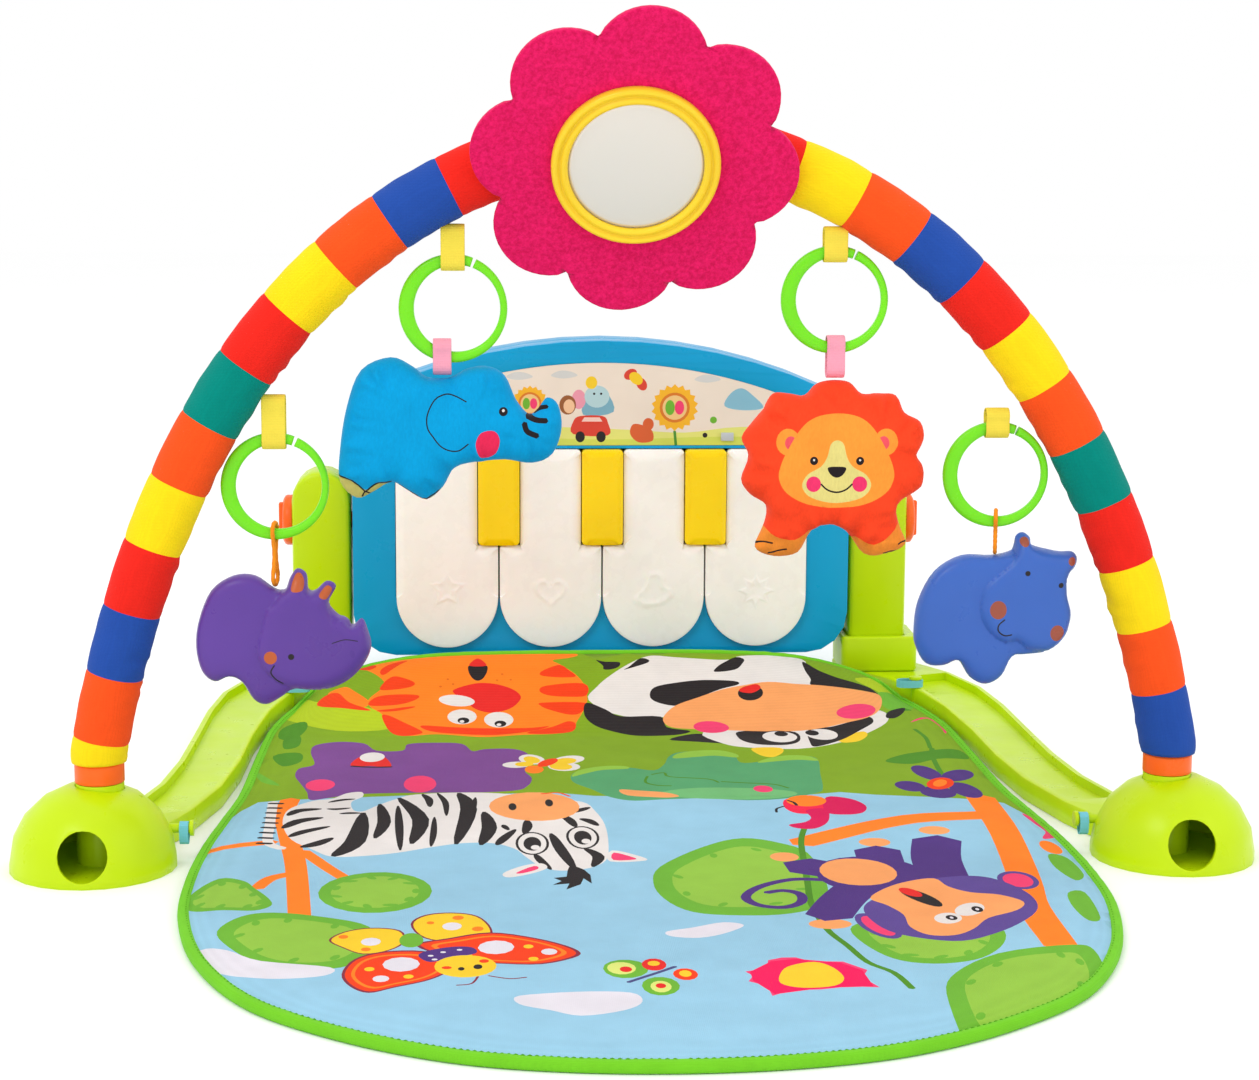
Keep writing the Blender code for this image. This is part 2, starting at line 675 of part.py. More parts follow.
# ---------------------------------------------------------------- mat
def bow_up(obj):
    """Divide the rear of a flat mat part into strips and lift them into the bow."""
    work = bmesh.new()
    work.from_mesh(obj.data)
    span = MAT_BOW_END_Y - MAT_BOW_START_Y
    lines = [((0.0, MAT_BOW_START_Y + span * k / 7, 0.0), (0.0, 1.0, 0.0)) for k in range(7)]
    lines += [((x, 0.0, 0.0), (1.0, 0.0, 0.0))
              for x in (-0.2000, -0.1750, -0.1400, -0.0900, 0.0, 0.0900, 0.1300, 0.1650, 0.1900)]
    for place, normal in lines:
        rear = {face for face in work.faces if max(v.co.y for v in face.verts) > MAT_BOW_START_Y}
        edges = {edge for face in rear for edge in face.edges}
        verts = {vert for face in rear for vert in face.verts}
        bmesh.ops.bisect_plane(work, geom=list(rear) + list(edges) + list(verts), dist=0.00002,
                               plane_co=place, plane_no=normal)
    bmesh.ops.triangulate(work, faces=work.faces[:])
    for vert in work.verts:
        vert.co.z += mat_lift(vert.co.x, vert.co.y)
    work.to_mesh(obj.data)
    work.free()


def make_mat():
    pad = lying_piece("mat_pad", [mat_outline(BINDING + GAP)], 0.0, MAT_TOP - 0.0010)
    bow_up(pad)
    bevel = pad.modifiers.new("Soft edge", "BEVEL")
    bevel.width = 0.0015
    bevel.segments = 1
    bevel.limit_method = "ANGLE"
    paint(pad, SKY, 0.9)
    binding = lying_piece("mat_binding", [mat_outline(0.0), mat_outline(BINDING)], 0.0, MAT_TOP)
    bow_up(binding)
    paint(binding, LIME, 0.9)


def band(name, colour, centre, width, height, breadth, wall, rotation=(math.pi / 2, 0.0, math.pi / 2)):
    """A closed strip of ribbon: a racetrack outline, given breadth.

    At the default rotation the strip's breadth lies along X and it stands upright.
    """
    loops = [racetrack(width, height), racetrack(width - 2 * wall, height - 2 * wall)]
    strip = flat_piece(name, loops, breadth)
    strip.location = centre
    strip.rotation_euler = rotation
    return paint(strip, colour, 0.85)


def make_ribbons(label, side):
    """Ribbon loops at the mat's edge, round the pegs of the dome and the rail."""
    front_x = DOME_X - DOME_RADIUS - 0.0032
    band("ribbon_front_" + label, RIBBON_BLUE, (side * front_x, ARCH_Y + 0.010, 0.0163),
         0.0086, 0.0130, 0.0050, 0.0008)
    band("ribbon_rear_" + label, RIBBON_BLUE, (side * 0.2175, 0.3080, 0.0172), 0.0100, 0.0190, 0.0050,
         0.0008, (0.0, 0.0, side * math.pi / 2))


# ---------------------------------------------------------------- arch and hangers
def make_arch():
    path = arch_path()
    middle = len(path) // 2
    cover = swept_tube("arch_cover", path, COVER_RADIUS, 10, caps=False)
    wall = cover.modifiers.new("Wall", "SOLIDIFY")
    wall.thickness = COVER_WALL
    wall.offset = -1.0
    paint(cover, COVER_RED, 0.9)
    crown_z = path[middle][2]
    half = path[:middle] + [(-0.0060, ARCH_Y, crown_z), (-GAP / 2, ARCH_Y, crown_z)]
    for label, side in SIDES:
        rod = swept_tube("arch_rod_" + label, [(-side * x, y, z) for x, y, z in half], ROD_RADIUS, 8)
        paint(rod, WHITE, 0.5)


def make_ring(name, centre, axis):
    """A round snap link with an off-centre hole, as thick at top and bottom as RING_BAR."""
    hole = RING_RADIUS - RING_BAR
    loops = [circle(centre[0], centre[1], RING_RADIUS, 22),
             circle(centre[0] + RING_SHIFT, centre[1], hole, 22)]
    ring = standing_piece(name, loops, ARCH_Y - RING_DEPTH / 2, ARCH_Y + RING_DEPTH / 2, 0.0018, 0)
    hang(axis, ring)
    return paint(ring, GREEN)


def string_loop(name, x, top, bottom, axis):
    """Thin string round a ring, both ends in the toy below."""
    loop = [(x + 0.2 * y, ARCH_Y + y, (top + bottom) / 2 + z) for y, z in racetrack(0.0096, top - bottom)]
    cord = swept_tube(name, loop, 0.0011, 6, caps=False, closed=True)
    hang(axis, cord)
    return paint(cord, ORANGE, 0.8)


def make_toy(name, colour, outline, x, z, thickness, rounding, axis, roughness):
    """A toy as one solid of its front outline, with soft edges."""
    toy = standing_piece(name, [in_place(outline, x, z)], ARCH_Y - thickness / 2, ARCH_Y + thickness / 2,
                         rounding, 0)
    hang(axis, toy)
    return paint(toy, colour, roughness)


def add_horns_and_ears(toy, name, tips):
    """Blunt cones joined to a toy: (x, z) of foot and tip, and two radii."""
    for i, (foot, tip, foot_radius, tip_radius) in enumerate(tips):
        start = Vector((foot[0], ARCH_Y, foot[1]))
        end = Vector((tip[0], ARCH_Y, tip[1]))
        mesh = bpy.data.meshes.new(f"{name}_tip_{i}")
        work = bmesh.new()
        bmesh.ops.create_cone(work, cap_ends=True, segments=12, radius1=foot_radius, radius2=tip_radius,
                              depth=(end - start).length)
        work.to_mesh(mesh)
        work.free()
        cone = add_object(f"{name}_tip_{i}", mesh, cutters)
        cone.location = (start + end) / 2
        cone.rotation_euler = (end - start).to_track_quat("Z", "Y").to_euler()
        join(toy, cone)


def make_hangers():
    """The four stations on the arch: loop, ring, strap or string, and toy."""
    stations = (
        ("upper_left", (-0.1030, 0.3105), 0.0255, "elephant"),
        ("upper_right", (0.1050, 0.3155), 0.0197, "lion"),
        ("lower_left", (-0.2005, 0.2135), 0.0302, "rhino"),
        ("lower_right", (0.1965, 0.2190), 0.0170, "hippo"),
    )
    bar_reach = RING_RADIUS - RING_BAR / 2
    for label, (x, z), loop_height, toy_name in stations:
        top = (x, ARCH_Y, z + bar_reach)
        bottom = (x, ARCH_Y, z - bar_reach)
        ring_axis = pivot("ring_axis_" + label, top)
        band("loop_" + label, YELLOW, (x, ARCH_Y, top[2] + loop_height / 2 - 0.0062), 0.0100, loop_height,
             0.0130, 0.0009)
        make_ring("ring_" + label, (x, z), ring_axis)
        toy_axis = pivot("toy_axis_" + toy_name, bottom)
        hang(ring_axis, toy_axis)
        make_hanging_toy(toy_name, x, bottom[2], toy_axis)


def make_hanging_toy(name, x, bar_z, axis):
    if name == "elephant":
        strap = band("strap_elephant", RIBBON_PINK, (x - 0.0060, ARCH_Y, bar_z + 0.0002), 0.0100, 0.0200,
                     0.0100, 0.0009)
        hang(axis, strap)
        make_toy(name, ELEPHANT_BLUE, ELEPHANT, -0.1050, 0.2450, 0.0340, 0.0080, axis, 0.9)
    elif name == "lion":
        strap = band("strap_lion", RIBBON_PINK, (x + 0.0010, ARCH_Y, bar_z - 0.0047), 0.0100, 0.0235, 0.0100, 0.0009)
        hang(axis, strap)
        make_toy(name, LION_RED, [(px, pz * 1.05) for px, pz in LION], 0.1060, 0.2210, 0.0340, 0.0060, axis, 0.9)
    elif name == "rhino":
        string_loop("string_rhino", x - 0.0005, bar_z + 0.0062, 0.1590, axis)
        toy = make_toy(name, RHINO_PURPLE, RHINO, -0.1970, 0.1300, 0.0200, 0.0050, axis, 0.3)
        add_horns_and_ears(toy, name, (
            ((-0.1890, 0.1530), (-0.1872, 0.1665), 0.0060, 0.0045),
            ((-0.1770, 0.1480), (-0.1710, 0.1590), 0.0060, 0.0045),
            ((-0.1630, 0.1330), (-0.1615, 0.1395), 0.0040, 0.0020),
            ((-0.1530, 0.1300), (-0.1530, 0.1410), 0.0050, 0.0022)))
    else:
        string_loop("string_hippo", x + 0.0010, bar_z + 0.0062, 0.1752, axis)
        toy = make_toy(name, HIPPO_BLUE, HIPPO, 0.1990, 0.1385, 0.0200, 0.0050, axis, 0.3)
        add_horns_and_ears(toy, name, (
            ((0.2125, 0.1730), (0.2122, 0.1850), 0.0050, 0.0035),
            ((0.2355, 0.1660), (0.2405, 0.1750), 0.0045, 0.0032)))


# ---------------------------------------------------------------- flower
def make_flower():
    """Felt flower with a framed mirror, on a fabric band round the arch's crown."""
    crown = arch_path()[ARCH_STEPS + 1]
    axis = pivot("flower_axis", crown)
    tilt = math.radians(25)
    normal = Vector((0.0, -math.cos(tilt), -math.sin(tilt)))
    centre = Vector((-0.0058, ARCH_Y - 0.0250, 0.3897))
    rotation = (math.pi / 2 + tilt, 0.0, 0.0)
    thickness = 0.0050
    felt = flat_piece("flower_felt", [flower_outline(0.0883)], thickness, 0.0015, 0)
    felt.location = centre
    felt.rotation_euler = rotation
    paint(felt, FELT_PINK, 0.9)
    face = centre + normal * (thickness / 2 + GAP)
    frame_profile = [(0.0360, 0.0035), (0.0372, 0.0062), (0.0392, 0.0062), (0.0405, 0.0042), (0.0418, 0.0058),
                     (0.0440, 0.0056), (0.0450, 0.0035), (0.0450, 0.0), (0.0350, 0.0), (0.0350, 0.0012),
                     (0.0374, 0.0012), (0.0374, 0.0032), (0.0360, 0.0032)]
    frame = turned_piece("mirror_frame", frame_profile, 24, face, rotation)
    paint(frame, YELLOW)
    glass = turned_piece("mirror", [(0.0, 0.0029), (0.0371, 0.0029), (0.0371, 0.0015), (0.0, 0.0015)], 24,
                         face, rotation)
    paint(glass, SILVER, 0.04, 1.0)
    wrap_inner = COVER_RADIUS + 0.0012
    wrap = turned_piece("flower_band", [(wrap_inner + 0.0015, 0.0110), (wrap_inner + 0.0015, -0.0110),
                                        (wrap_inner, -0.0110), (wrap_inner, 0.0110)],
                        20, crown, (0.0, math.pi / 2, 0.0))
    paint(wrap, FELT_PINK, 0.9)
    hang(axis, felt, frame, glass, wrap)


# ---------------------------------------------------------------- piano
def make_piano_shells():
    front = standing_piece("piano_front", [piano_outline(0.0)], PIANO_FRONT_Y, PIANO_SEAM_Y)
    round_face(front, 0.0060, 2, lambda z: z > 0)
    hollow = standing_piece("front_hollow", [piano_outline(WALL)], PIANO_FRONT_Y + WALL,
                            PIANO_SEAM_Y + 0.01, 0.0, 0, cutters)
    window = standing_piece("key_window", [key_window()], PIANO_FRONT_Y - 0.01, PIANO_FRONT_Y + 0.01,
                            0.0, 0, cutters)
    pocket = standing_piece("label_pocket", [label_outline(0.0)], PIANO_FRONT_Y - 0.01,
                            PIANO_FRONT_Y + 0.0012, 0.0, 0, cutters)
    slot = box("switch_slot", (SWITCH_X - 0.0130, PIANO_FRONT_Y - 0.01, SWITCH_Z - 0.0032),
               (SWITCH_X + 0.0130, PIANO_FRONT_Y + 0.01, SWITCH_Z + 0.0032), cutters)
    for tool in (hollow, window, pocket, slot):
        cut(front, tool)
    paint(front, BLUE)
    rear = standing_piece("piano_rear", [piano_outline(0.0)], PIANO_SEAM_Y + GAP, PIANO_REAR_Y)
    round_face(rear, 0.0070, 2, lambda z: z < 0)
    hollow = standing_piece("rear_hollow", [piano_outline(WALL)], PIANO_SEAM_Y - 0.01,
                            PIANO_REAR_Y - WALL, 0.0, 0, cutters)
    cut(rear, hollow)
    door = box("door_room", (-0.0375, PIANO_REAR_Y - 0.01, 0.0560), (0.0375, PIANO_REAR_Y + 0.01, 0.1140),
               cutters)
    cut(rear, door)
    for i in range(4):
        z = 0.1805 + 0.0065 * i
        cut(rear, box(f"speaker_slot_{i}", (-0.0160, PIANO_REAR_Y - 0.01, z - 0.0014),
                      (0.0160, PIANO_REAR_Y + 0.01, z + 0.0014), cutters))
    bore = bar("rear_bore", SHAFT_RADIUS + GAP, (-0.2, PIVOT_Y, PIVOT_Z), (0.2, PIVOT_Y, PIVOT_Z))
    cut(rear, bore)
    paint(rear, BLUE)
    return [front, rear]


def round_face(obj, width, segments, keep):
    """Bevel the rim of one flat face, picked by its local height."""
    weight = obj.data.attributes.new("bevel_weight_edge", "FLOAT", "EDGE")
    verts = obj.data.vertices
    extreme = max(abs(v.co.z) for v in verts)
    for edge in obj.data.edges:
        heights = [verts[i].co.z for i in edge.vertices]
        on_rim = all(keep(z) and abs(abs(z) - extreme) < 1e-6 for z in heights)
        weight.data[edge.index].value = 1.0 if on_rim else 0.0
    bevel = obj.modifiers.new("Round rim", "BEVEL")
    bevel.limit_method = "WEIGHT"
    bevel.width = width
    bevel.segments = segments


def make_keys():
    keys = []
    for index in range(4):
        axis = pivot(f"key_axis_{index + 1}", ((index - 1.5) * KEY_PITCH, KEY_BACK_Y - 0.003, KEY_TOP - 0.002))
        key = standing_piece(f"white_key_{index + 1}", [key_outline(index)], KEY_FRONT_Y, KEY_BACK_Y)
        round_face(key, 0.0022, 2, lambda z: z > 0)
        hang(axis, key)
        paint(key, WHITE)
        keys.append(axis)
    for index in range(3):
        x = (index - 1) * KEY_PITCH
        outline = rounded_rectangle(x - SHARP_HALF, SHARP_BOTTOM, x + SHARP_HALF, KEY_TOP, 0.0025, 2)
        sharp = standing_piece(f"yellow_key_{index + 1}", [outline], SHARP_FRONT_Y, 0.3790)
        round_face(sharp, 0.0018, 2, lambda z: z > 0)
        keys.append(paint(sharp, YELLOW))
    return keys


def make_piano_inside():
    label = standing_piece("label_panel", [label_outline(GAP)], PIANO_FRONT_Y, PIANO_FRONT_Y + 0.0009)
    slot = box("label_slot", (SWITCH_X - 0.0130, PIANO_FRONT_Y - 0.01, SWITCH_Z - 0.0032),
               (SWITCH_X + 0.0130, PIANO_FRONT_Y + 0.01, SWITCH_Z + 0.0032), cutters)
    cut(label, slot)
    paint(label, WHITE)
    switch = box("mode_switch", (SWITCH_X - 0.0125, PIANO_FRONT_Y - 0.0022, SWITCH_Z - 0.0029),
                 (SWITCH_X - 0.0035, PIANO_FRONT_Y + 0.0040, SWITCH_Z + 0.0029))
    paint(switch, (0.75, 0.75, 0.76))
    board = box("circuit_board", (-0.1500, 0.3793, 0.0450), (0.1500, 0.3809, 0.2000))
    paint(board, BOARD, 0.5)
    speaker = turned_piece("speaker", [(0.0, 0.0060), (0.0190, 0.0060), (0.0190, 0.0035), (0.0100, 0.0),
                                       (0.0100, -0.0060), (0.0, -0.0060)], 20,
                           (0.0, PIANO_REAR_Y - WALL - 0.0064, 0.1900), (-math.pi / 2, 0.0, 0.0))
    paint(speaker, BLACK, 0.6)
    door = box("battery_door", (-0.0372, PIANO_REAR_Y - 0.0022, 0.0563),
               (0.0372, PIANO_REAR_Y - GAP, 0.1137), rounding=0.0005)
    paint(door, BLUE)
    cells = []
    for i in range(3):
        x = (i - 1) * 0.0180
        cell = turned_piece(f"battery_{i + 1}", [(0.0, 0.0252), (0.0026, 0.0252), (0.0026, 0.0238),
                                                 (0.0070, 0.0238), (0.0070, -0.0252), (0.0, -0.0252)], 12,
                            (x, 0.3980, 0.0850))
        cells.append(paint(cell, STEEL, 0.4, 0.6))
    return [label, switch, board, speaker, door] + cells


def make_piano():
    axis = pivot("piano_axis", (0.0, PIVOT_Y, PIVOT_Z))
    pieces = make_piano_shells() + make_keys() + make_piano_inside()
    hang(axis, *pieces)


def move_to_cutters(obj):
    parts.objects.unlink(obj)
    cutters.objects.link(obj)


def main():
    clear_scene()
    make_mat()
    for label, side in SIDES:
        make_dome(label, side)
        make_base(label, side)
        make_end_plug(label, side)
        make_rail(label, side)
        make_column(label, side)
        make_collar(label, side)
        make_knob(label, side, pivot("knob_axis_" + label, (side * 0.2, PIVOT_Y, PIVOT_Z)))
        make_ribbons(label, side)
    make_arch()
    make_hangers()
    make_flower()
    make_piano()


main()
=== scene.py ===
"""Looks of the activity play gym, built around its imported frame.

Metres, +Z up, +Y towards the piano. Flat art and outlines are drawn in millimetres.
"""
import math

import bmesh
import bpy
import numpy as np
from mathutils import Matrix, Vector, noise
from mathutils.geometry import delaunay_2d_cdt


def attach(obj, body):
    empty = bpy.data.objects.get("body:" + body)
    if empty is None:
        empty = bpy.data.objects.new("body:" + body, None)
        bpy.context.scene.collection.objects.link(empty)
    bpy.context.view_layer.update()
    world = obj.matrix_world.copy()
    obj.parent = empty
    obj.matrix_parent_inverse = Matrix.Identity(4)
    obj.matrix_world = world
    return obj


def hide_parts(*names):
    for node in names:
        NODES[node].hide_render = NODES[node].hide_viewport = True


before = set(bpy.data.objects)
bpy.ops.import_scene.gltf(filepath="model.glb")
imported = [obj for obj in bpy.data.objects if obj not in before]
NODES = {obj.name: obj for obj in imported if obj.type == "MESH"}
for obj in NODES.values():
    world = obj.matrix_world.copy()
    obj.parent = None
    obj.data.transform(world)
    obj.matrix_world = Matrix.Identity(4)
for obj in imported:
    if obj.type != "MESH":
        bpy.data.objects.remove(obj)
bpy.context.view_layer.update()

MM = 0.001
ARCH_Y = -0.078                   # plane of the arch and the hanging toys
PIANO_Y = 0.362                   # front face of the piano
STANDING = Matrix.Translation((0.0, ARCH_Y, 0.0)) @ Matrix.Rotation(math.pi / 2, 4, "X")
FLOWER_TILT = math.radians(25)
FLOWER = (Matrix.Translation((-0.0058, ARCH_Y - 0.0250, 0.3897))
          @ Matrix.Rotation(math.pi / 2 + FLOWER_TILT, 4, "X"))
X_AXIS = Vector((1.0, 0.0, 0.0))
Y_AXIS = Vector((0.0, 1.0, 0.0))
Z_AXIS = Vector((0.0, 0.0, 1.0))


def srgb(red, green, blue):
    """A screen colour, 0 to 255, as a linear one."""
    return tuple(((c / 255 + 0.055) / 1.055) ** 2.4 if c > 10 else c / 3294.6 for c in (red, green, blue))


WHITE = srgb(226, 220, 216)
BLACK = srgb(38, 32, 34)
ORANGE = srgb(255, 128, 28)
DEEP_ORANGE = srgb(240, 62, 14)
PEACH = srgb(243, 160, 96)
PINK = srgb(238, 62, 112)
YELLOW = srgb(240, 200, 40)
PURPLE = srgb(78, 48, 124)
VIOLET = srgb(122, 70, 142)
TEAL = srgb(84, 160, 106)
FIELD = srgb(128, 164, 26)
LIGHT_FIELD = srgb(178, 200, 28)
SKY = srgb(148, 196, 220)
LEAF = srgb(108, 176, 50)
LIGHT_LEAF = srgb(144, 192, 66)
DARK_LEAF = srgb(76, 138, 30)
RED = srgb(226, 38, 34)
CLOUD = srgb(222, 218, 226)


# ---------------------------------------------------------------- materials
class Shader:
    """A Principled material and the nodes that feed it."""

    def __init__(self, name, **sockets):
        self.material = bpy.data.materials.new(name)
        self.material.use_nodes = True
        self.tree = self.material.node_tree
        self.principled = self.tree.nodes["Principled BSDF"]
        for key, value in sockets.items():
            self.principled.inputs[key.replace("_", " ")].default_value = value

    def add(self, kind, inputs=None, **settings):
        node = self.tree.nodes.new("ShaderNode" + kind)
        for key, value in settings.items():
            setattr(node, key, value)
        for key, value in (inputs or {}).items():
            if isinstance(value, bpy.types.NodeSocket):
                self.tree.links.new(value, node.inputs[key])
            else:
                node.inputs[key].default_value = value
        return node

    def link(self, socket, target):
        self.tree.links.new(socket, self.principled.inputs[target])

    def place(self):
        return self.add("TexCoord").outputs["Object"]

    def noise(self, scale, detail=2.0, roughness=0.5, stretch=None):
        where = self.place()
        if stretch:
            where = self.add("Mapping", {"Vector": where, "Scale": stretch}).outputs["Vector"]
        return self.add("TexNoise", {"Vector": where, "Scale": scale, "Detail": detail,
                                     "Roughness": roughness}).outputs["Fac"]

    def remap(self, value, low, high, start=0.3, end=0.7):
        return self.add("MapRange", {"Value": value, "From Min": start, "From Max": end, "To Min": low,
                                     "To Max": high}).outputs["Result"]

    def tint(self, colour, factor):
        """The colour, made lighter or darker by a factor near 1."""
        scaled = self.add("VectorMath", {0: colour}, operation="SCALE")
        self.tree.links.new(factor, scaled.inputs["Scale"])
        return scaled.outputs["Vector"]

    def times(self, first, second):
        return self.add("Math", {0: first, 1: second}, operation="MULTIPLY").outputs["Value"]

    def bump(self, height, distance, strength=1.0, below=None):
        inputs = {"Height": height, "Distance": distance, "Strength": strength}
        if below is not None:
            inputs["Normal"] = below
        return self.add("Bump", inputs).outputs["Normal"]


def plastic(name, colour, roughness=0.3, bleed=0.12):
    """Moulded plastic: faint flow marks in the colour, fine grain, uneven gloss."""
    shader = Shader(name, Subsurface_Weight=bleed, Subsurface_Scale=0.004, Specular_IOR_Level=0.24)
    shader.principled.inputs["Subsurface Radius"].default_value = (1.0, 0.8, 0.6)
    flow = shader.noise(14.0, 3.0, 0.55, (1.0, 1.0, 0.4))
    shader.link(shader.tint((*colour,), shader.remap(flow, 0.94, 1.05)), "Base Color")
    smear = shader.noise(60.0, 4.0, 0.6)
    shader.link(shader.remap(smear, roughness - 0.05, roughness + 0.09), "Roughness")
    shader.link(shader.bump(shader.noise(1600.0, 2.0), 0.00006, 0.6), "Normal")
    return shader.material


def weave_height(shader, period):
    """Over and under threads along all three axes, so that any face shows a weave."""
    inputs = {"Vector": shader.place(), "Scale": 0.314 / period, "Distortion": 0.6, "Detail": 1.0,
              "Detail Scale": 2.0}
    waves = [shader.add("TexWave", inputs, bands_direction=direction).outputs["Fac"] for direction in "XYZ"]
    crossed = shader.add("Math", {0: waves[0], 1: waves[1]}, operation="MAXIMUM").outputs["Value"]
    return shader.add("Math", {0: crossed, 1: waves[2]}, operation="ADD").outputs["Value"]


def cloth(name, colour, period, sheen=0.06, depth=0.00012, mottle=0.05):
    """Woven cloth, plain or in the colours of the mesh's own print."""
    shader = Shader(name, Roughness=0.9, Sheen_Weight=sheen, Sheen_Roughness=0.45, Specular_IOR_Level=0.08)
    weave = weave_height(shader, period)
    if colour is None:
        base = shader.add("VertexColor", layer_name="print").outputs["Color"]
    else:
        base = (*colour,)
    thread = shader.remap(weave, 1.0 - mottle, 1.0 + mottle * 0.6, 0.4, 1.9)
    patch = shader.remap(shader.noise(45.0, 4.0, 0.6), 0.96, 1.04)
    shader.link(shader.tint(base, shader.times(thread, patch)), "Base Color")
    fuzz = shader.bump(shader.noise(2600.0, 2.0), depth * 0.5, 0.5)
    shader.link(shader.bump(weave, depth, 0.5, fuzz), "Normal")
    return shader.material


def plush(name):
    """Short brushed pile in the colours of the mesh's own print."""
    shader = Shader(name, Roughness=0.8, Sheen_Weight=0.08, Sheen_Roughness=0.35, Specular_IOR_Level=0.12)
    base = shader.add("VertexColor", layer_name="print").outputs["Color"]
    nap = shader.noise(900.0, 3.0, 0.65, (1.0, 1.0, 0.35))
    brushed = shader.noise(38.0, 3.0, 0.6)
    lit = shader.times(shader.remap(nap, 0.93, 1.06), shader.remap(brushed, 0.95, 1.05))
    shader.link(shader.tint(base, lit), "Base Color")
    shader.link(shader.bump(nap, 0.00018, 0.6, shader.bump(brushed, 0.0006, 0.5)), "Normal")
    return shader.material


def felt(name):
    """Pressed wool felt: tangled light and dark pink fibres and a soft rough face."""
    colour = srgb(238, 30, 104)
    speck = srgb(206, 18, 80)
    shader = Shader(name, Roughness=0.95, Sheen_Weight=0.1, Sheen_Roughness=0.5, Specular_IOR_Level=0.05)
    fibres = shader.noise(420.0, 6.0, 0.72)
    clumps = shader.noise(130.0, 4.0, 0.65)
    mixed = shader.add("MixRGB", {"Fac": shader.remap(fibres, 0.0, 1.0, 0.38, 0.62), "Color1": (*speck, 1.0),
                                  "Color2": (*colour, 1.0)})
    shader.link(shader.tint(mixed.outputs["Color"], shader.remap(clumps, 0.95, 1.04)), "Base Color")
    shader.link(shader.bump(fibres, 0.0005, 0.6, shader.bump(clumps, 0.0004, 0.4)), "Normal")
    return shader.material


def printed_plastic(name, roughness, bleed=0.1):
    """Moulded plastic in the colours of the mesh's own paint."""
    shader = Shader(name, Subsurface_Weight=bleed, Subsurface_Scale=0.003, Specular_IOR_Level=0.26)
    base = shader.add("VertexColor", layer_name="print").outputs["Color"]
    shader.link(shader.tint(base, shader.remap(shader.noise(18.0, 3.0), 0.95, 1.05)), "Base Color")
    shader.link(shader.remap(shader.noise(70.0, 4.0, 0.6), roughness - 0.05, roughness + 0.08), "Roughness")
    shader.link(shader.bump(shader.noise(1500.0, 2.0), 0.00005, 0.5), "Normal")
    return shader.material


def mirror_film():
    """Plastic mirror sheet, a little blurry and not quite flat; its warm grey base, only part metallic, is
    painted reflection of a pale room.
    """
    shader = Shader("mirror_film", Metallic=0.6)
    # painted reflection: the warm grey diffuse share stands in for the pale room that the mirror shows
    shader.principled.inputs["Base Color"].default_value = (*srgb(232, 224, 214), 1.0)
    shader.link(shader.remap(shader.noise(25.0, 3.0), 0.34, 0.4), "Roughness")
    shader.link(shader.bump(shader.noise(22.0, 1.0), 0.0004, 0.2), "Normal")
    return shader.material


def metal(name, colour):
    """Brushed cell can."""
    shader = Shader(name, Metallic=0.9)
    shader.principled.inputs["Base Color"].default_value = (*colour, 1.0)
    shader.link(shader.remap(shader.noise(300.0, 3.0, 0.5, (1.0, 1.0, 0.05)), 0.25, 0.45), "Roughness")
    return shader.material


# ---------------------------------------------------------------- flat outlines, in millimetres
def smooth(points, closed, steps):
    """A curve through the points, as a list of points."""
    result = []
    count = len(points)
    spans = count if closed else count - 1
    for i in range(spans):
        if closed:
            p0, p1, p2, p3 = (Vector(points[(i + k) % count]) for k in (-1, 0, 1, 2))
        else:
            p0, p1, p2, p3 = (Vector(points[min(max(i + k, 0), count - 1)]) for k in (-1, 0, 1, 2))
        for step in range(steps):
            t = step / steps
            blend = (2 * p1 + (p2 - p0) * t + (2 * p0 - 5 * p1 + 4 * p2 - p3) * t * t
                     + (3 * p1 - p0 - 3 * p2 + p3) * t ** 3)
            result.append(tuple(blend / 2))
    if not closed:
        result.append(tuple(points[-1]))
    return result


def blob(*points, steps=4):
    return smooth(points, True, steps)


def ellipse(x, y, rx, ry=None, tilt=0.0, count=22):
    ry = rx if ry is None else ry
    turn = math.radians(tilt)
    loop = []
    for i in range(count):
        angle = 2 * math.pi * i / count
        a = rx * math.cos(angle)
        b = ry * math.sin(angle)
        loop.append((x + a * math.cos(turn) - b * math.sin(turn), y + a * math.sin(turn) + b * math.cos(turn)))
    return loop


def scaled(loop, factor):
    """The loop, drawn in towards its own middle."""
    cx = sum(p[0] for p in loop) / len(loop)
    cy = sum(p[1] for p in loop) / len(loop)
    return [(cx + (x - cx) * factor, cy + (y - cy) * factor) for x, y in loop]


def stroke(points, width, taper=False, steps=4):
    """The outline of a brush stroke along the points."""
    path = [Vector(p) for p in smooth(points, False, steps)]
    left = []
    right = []
    last = len(path) - 1
    for i, p in enumerate(path):
        along = (path[min(i + 1, last)] - path[max(i - 1, 0)]).normalized()
        share = math.sin(math.pi * (i + 0.3) / (last + 0.6)) ** 0.7 if taper else 1.0
        across = Vector((-along.y, along.x)) * width / 2 * share
        left.append(tuple(p + across))
        right.append(tuple(p - across))
    if taper:
        return left + right[::-1]
    tip = (path[-1] - path[-2]).normalized() * width * 0.35
    tail = (path[0] - path[1]).normalized() * width * 0.35
    return left + [tuple(path[-1] + tip)] + right[::-1] + [tuple(path[0] + tail)]


def anticlockwise(loop):
    area = sum(p[0] * q[1] - q[0] * p[1] for p, q in zip(loop, loop[1:] + loop[:1]))
    return list(loop) if area > 0 else list(loop)[::-1]


def nearest_on(loop, points):
    """For each point, its distance to the loop and the place on the loop nearest to it."""
    a = np.array(loop)
    b = np.roll(a, -1, axis=0)
    d = b - a
    length2 = np.maximum((d ** 2).sum(1), 1e-12)
    p = np.array(points)
    t = np.clip(((p[:, None, :] - a[None]) * d[None]).sum(2) / length2[None], 0, 1)
    near = a[None] + t[..., None] * d[None]
    gap = np.sqrt(((p[:, None, :] - near) ** 2).sum(2))
    best = gap.argmin(1)
    rows = np.arange(len(p))
    return gap[rows, best], near[rows, best]


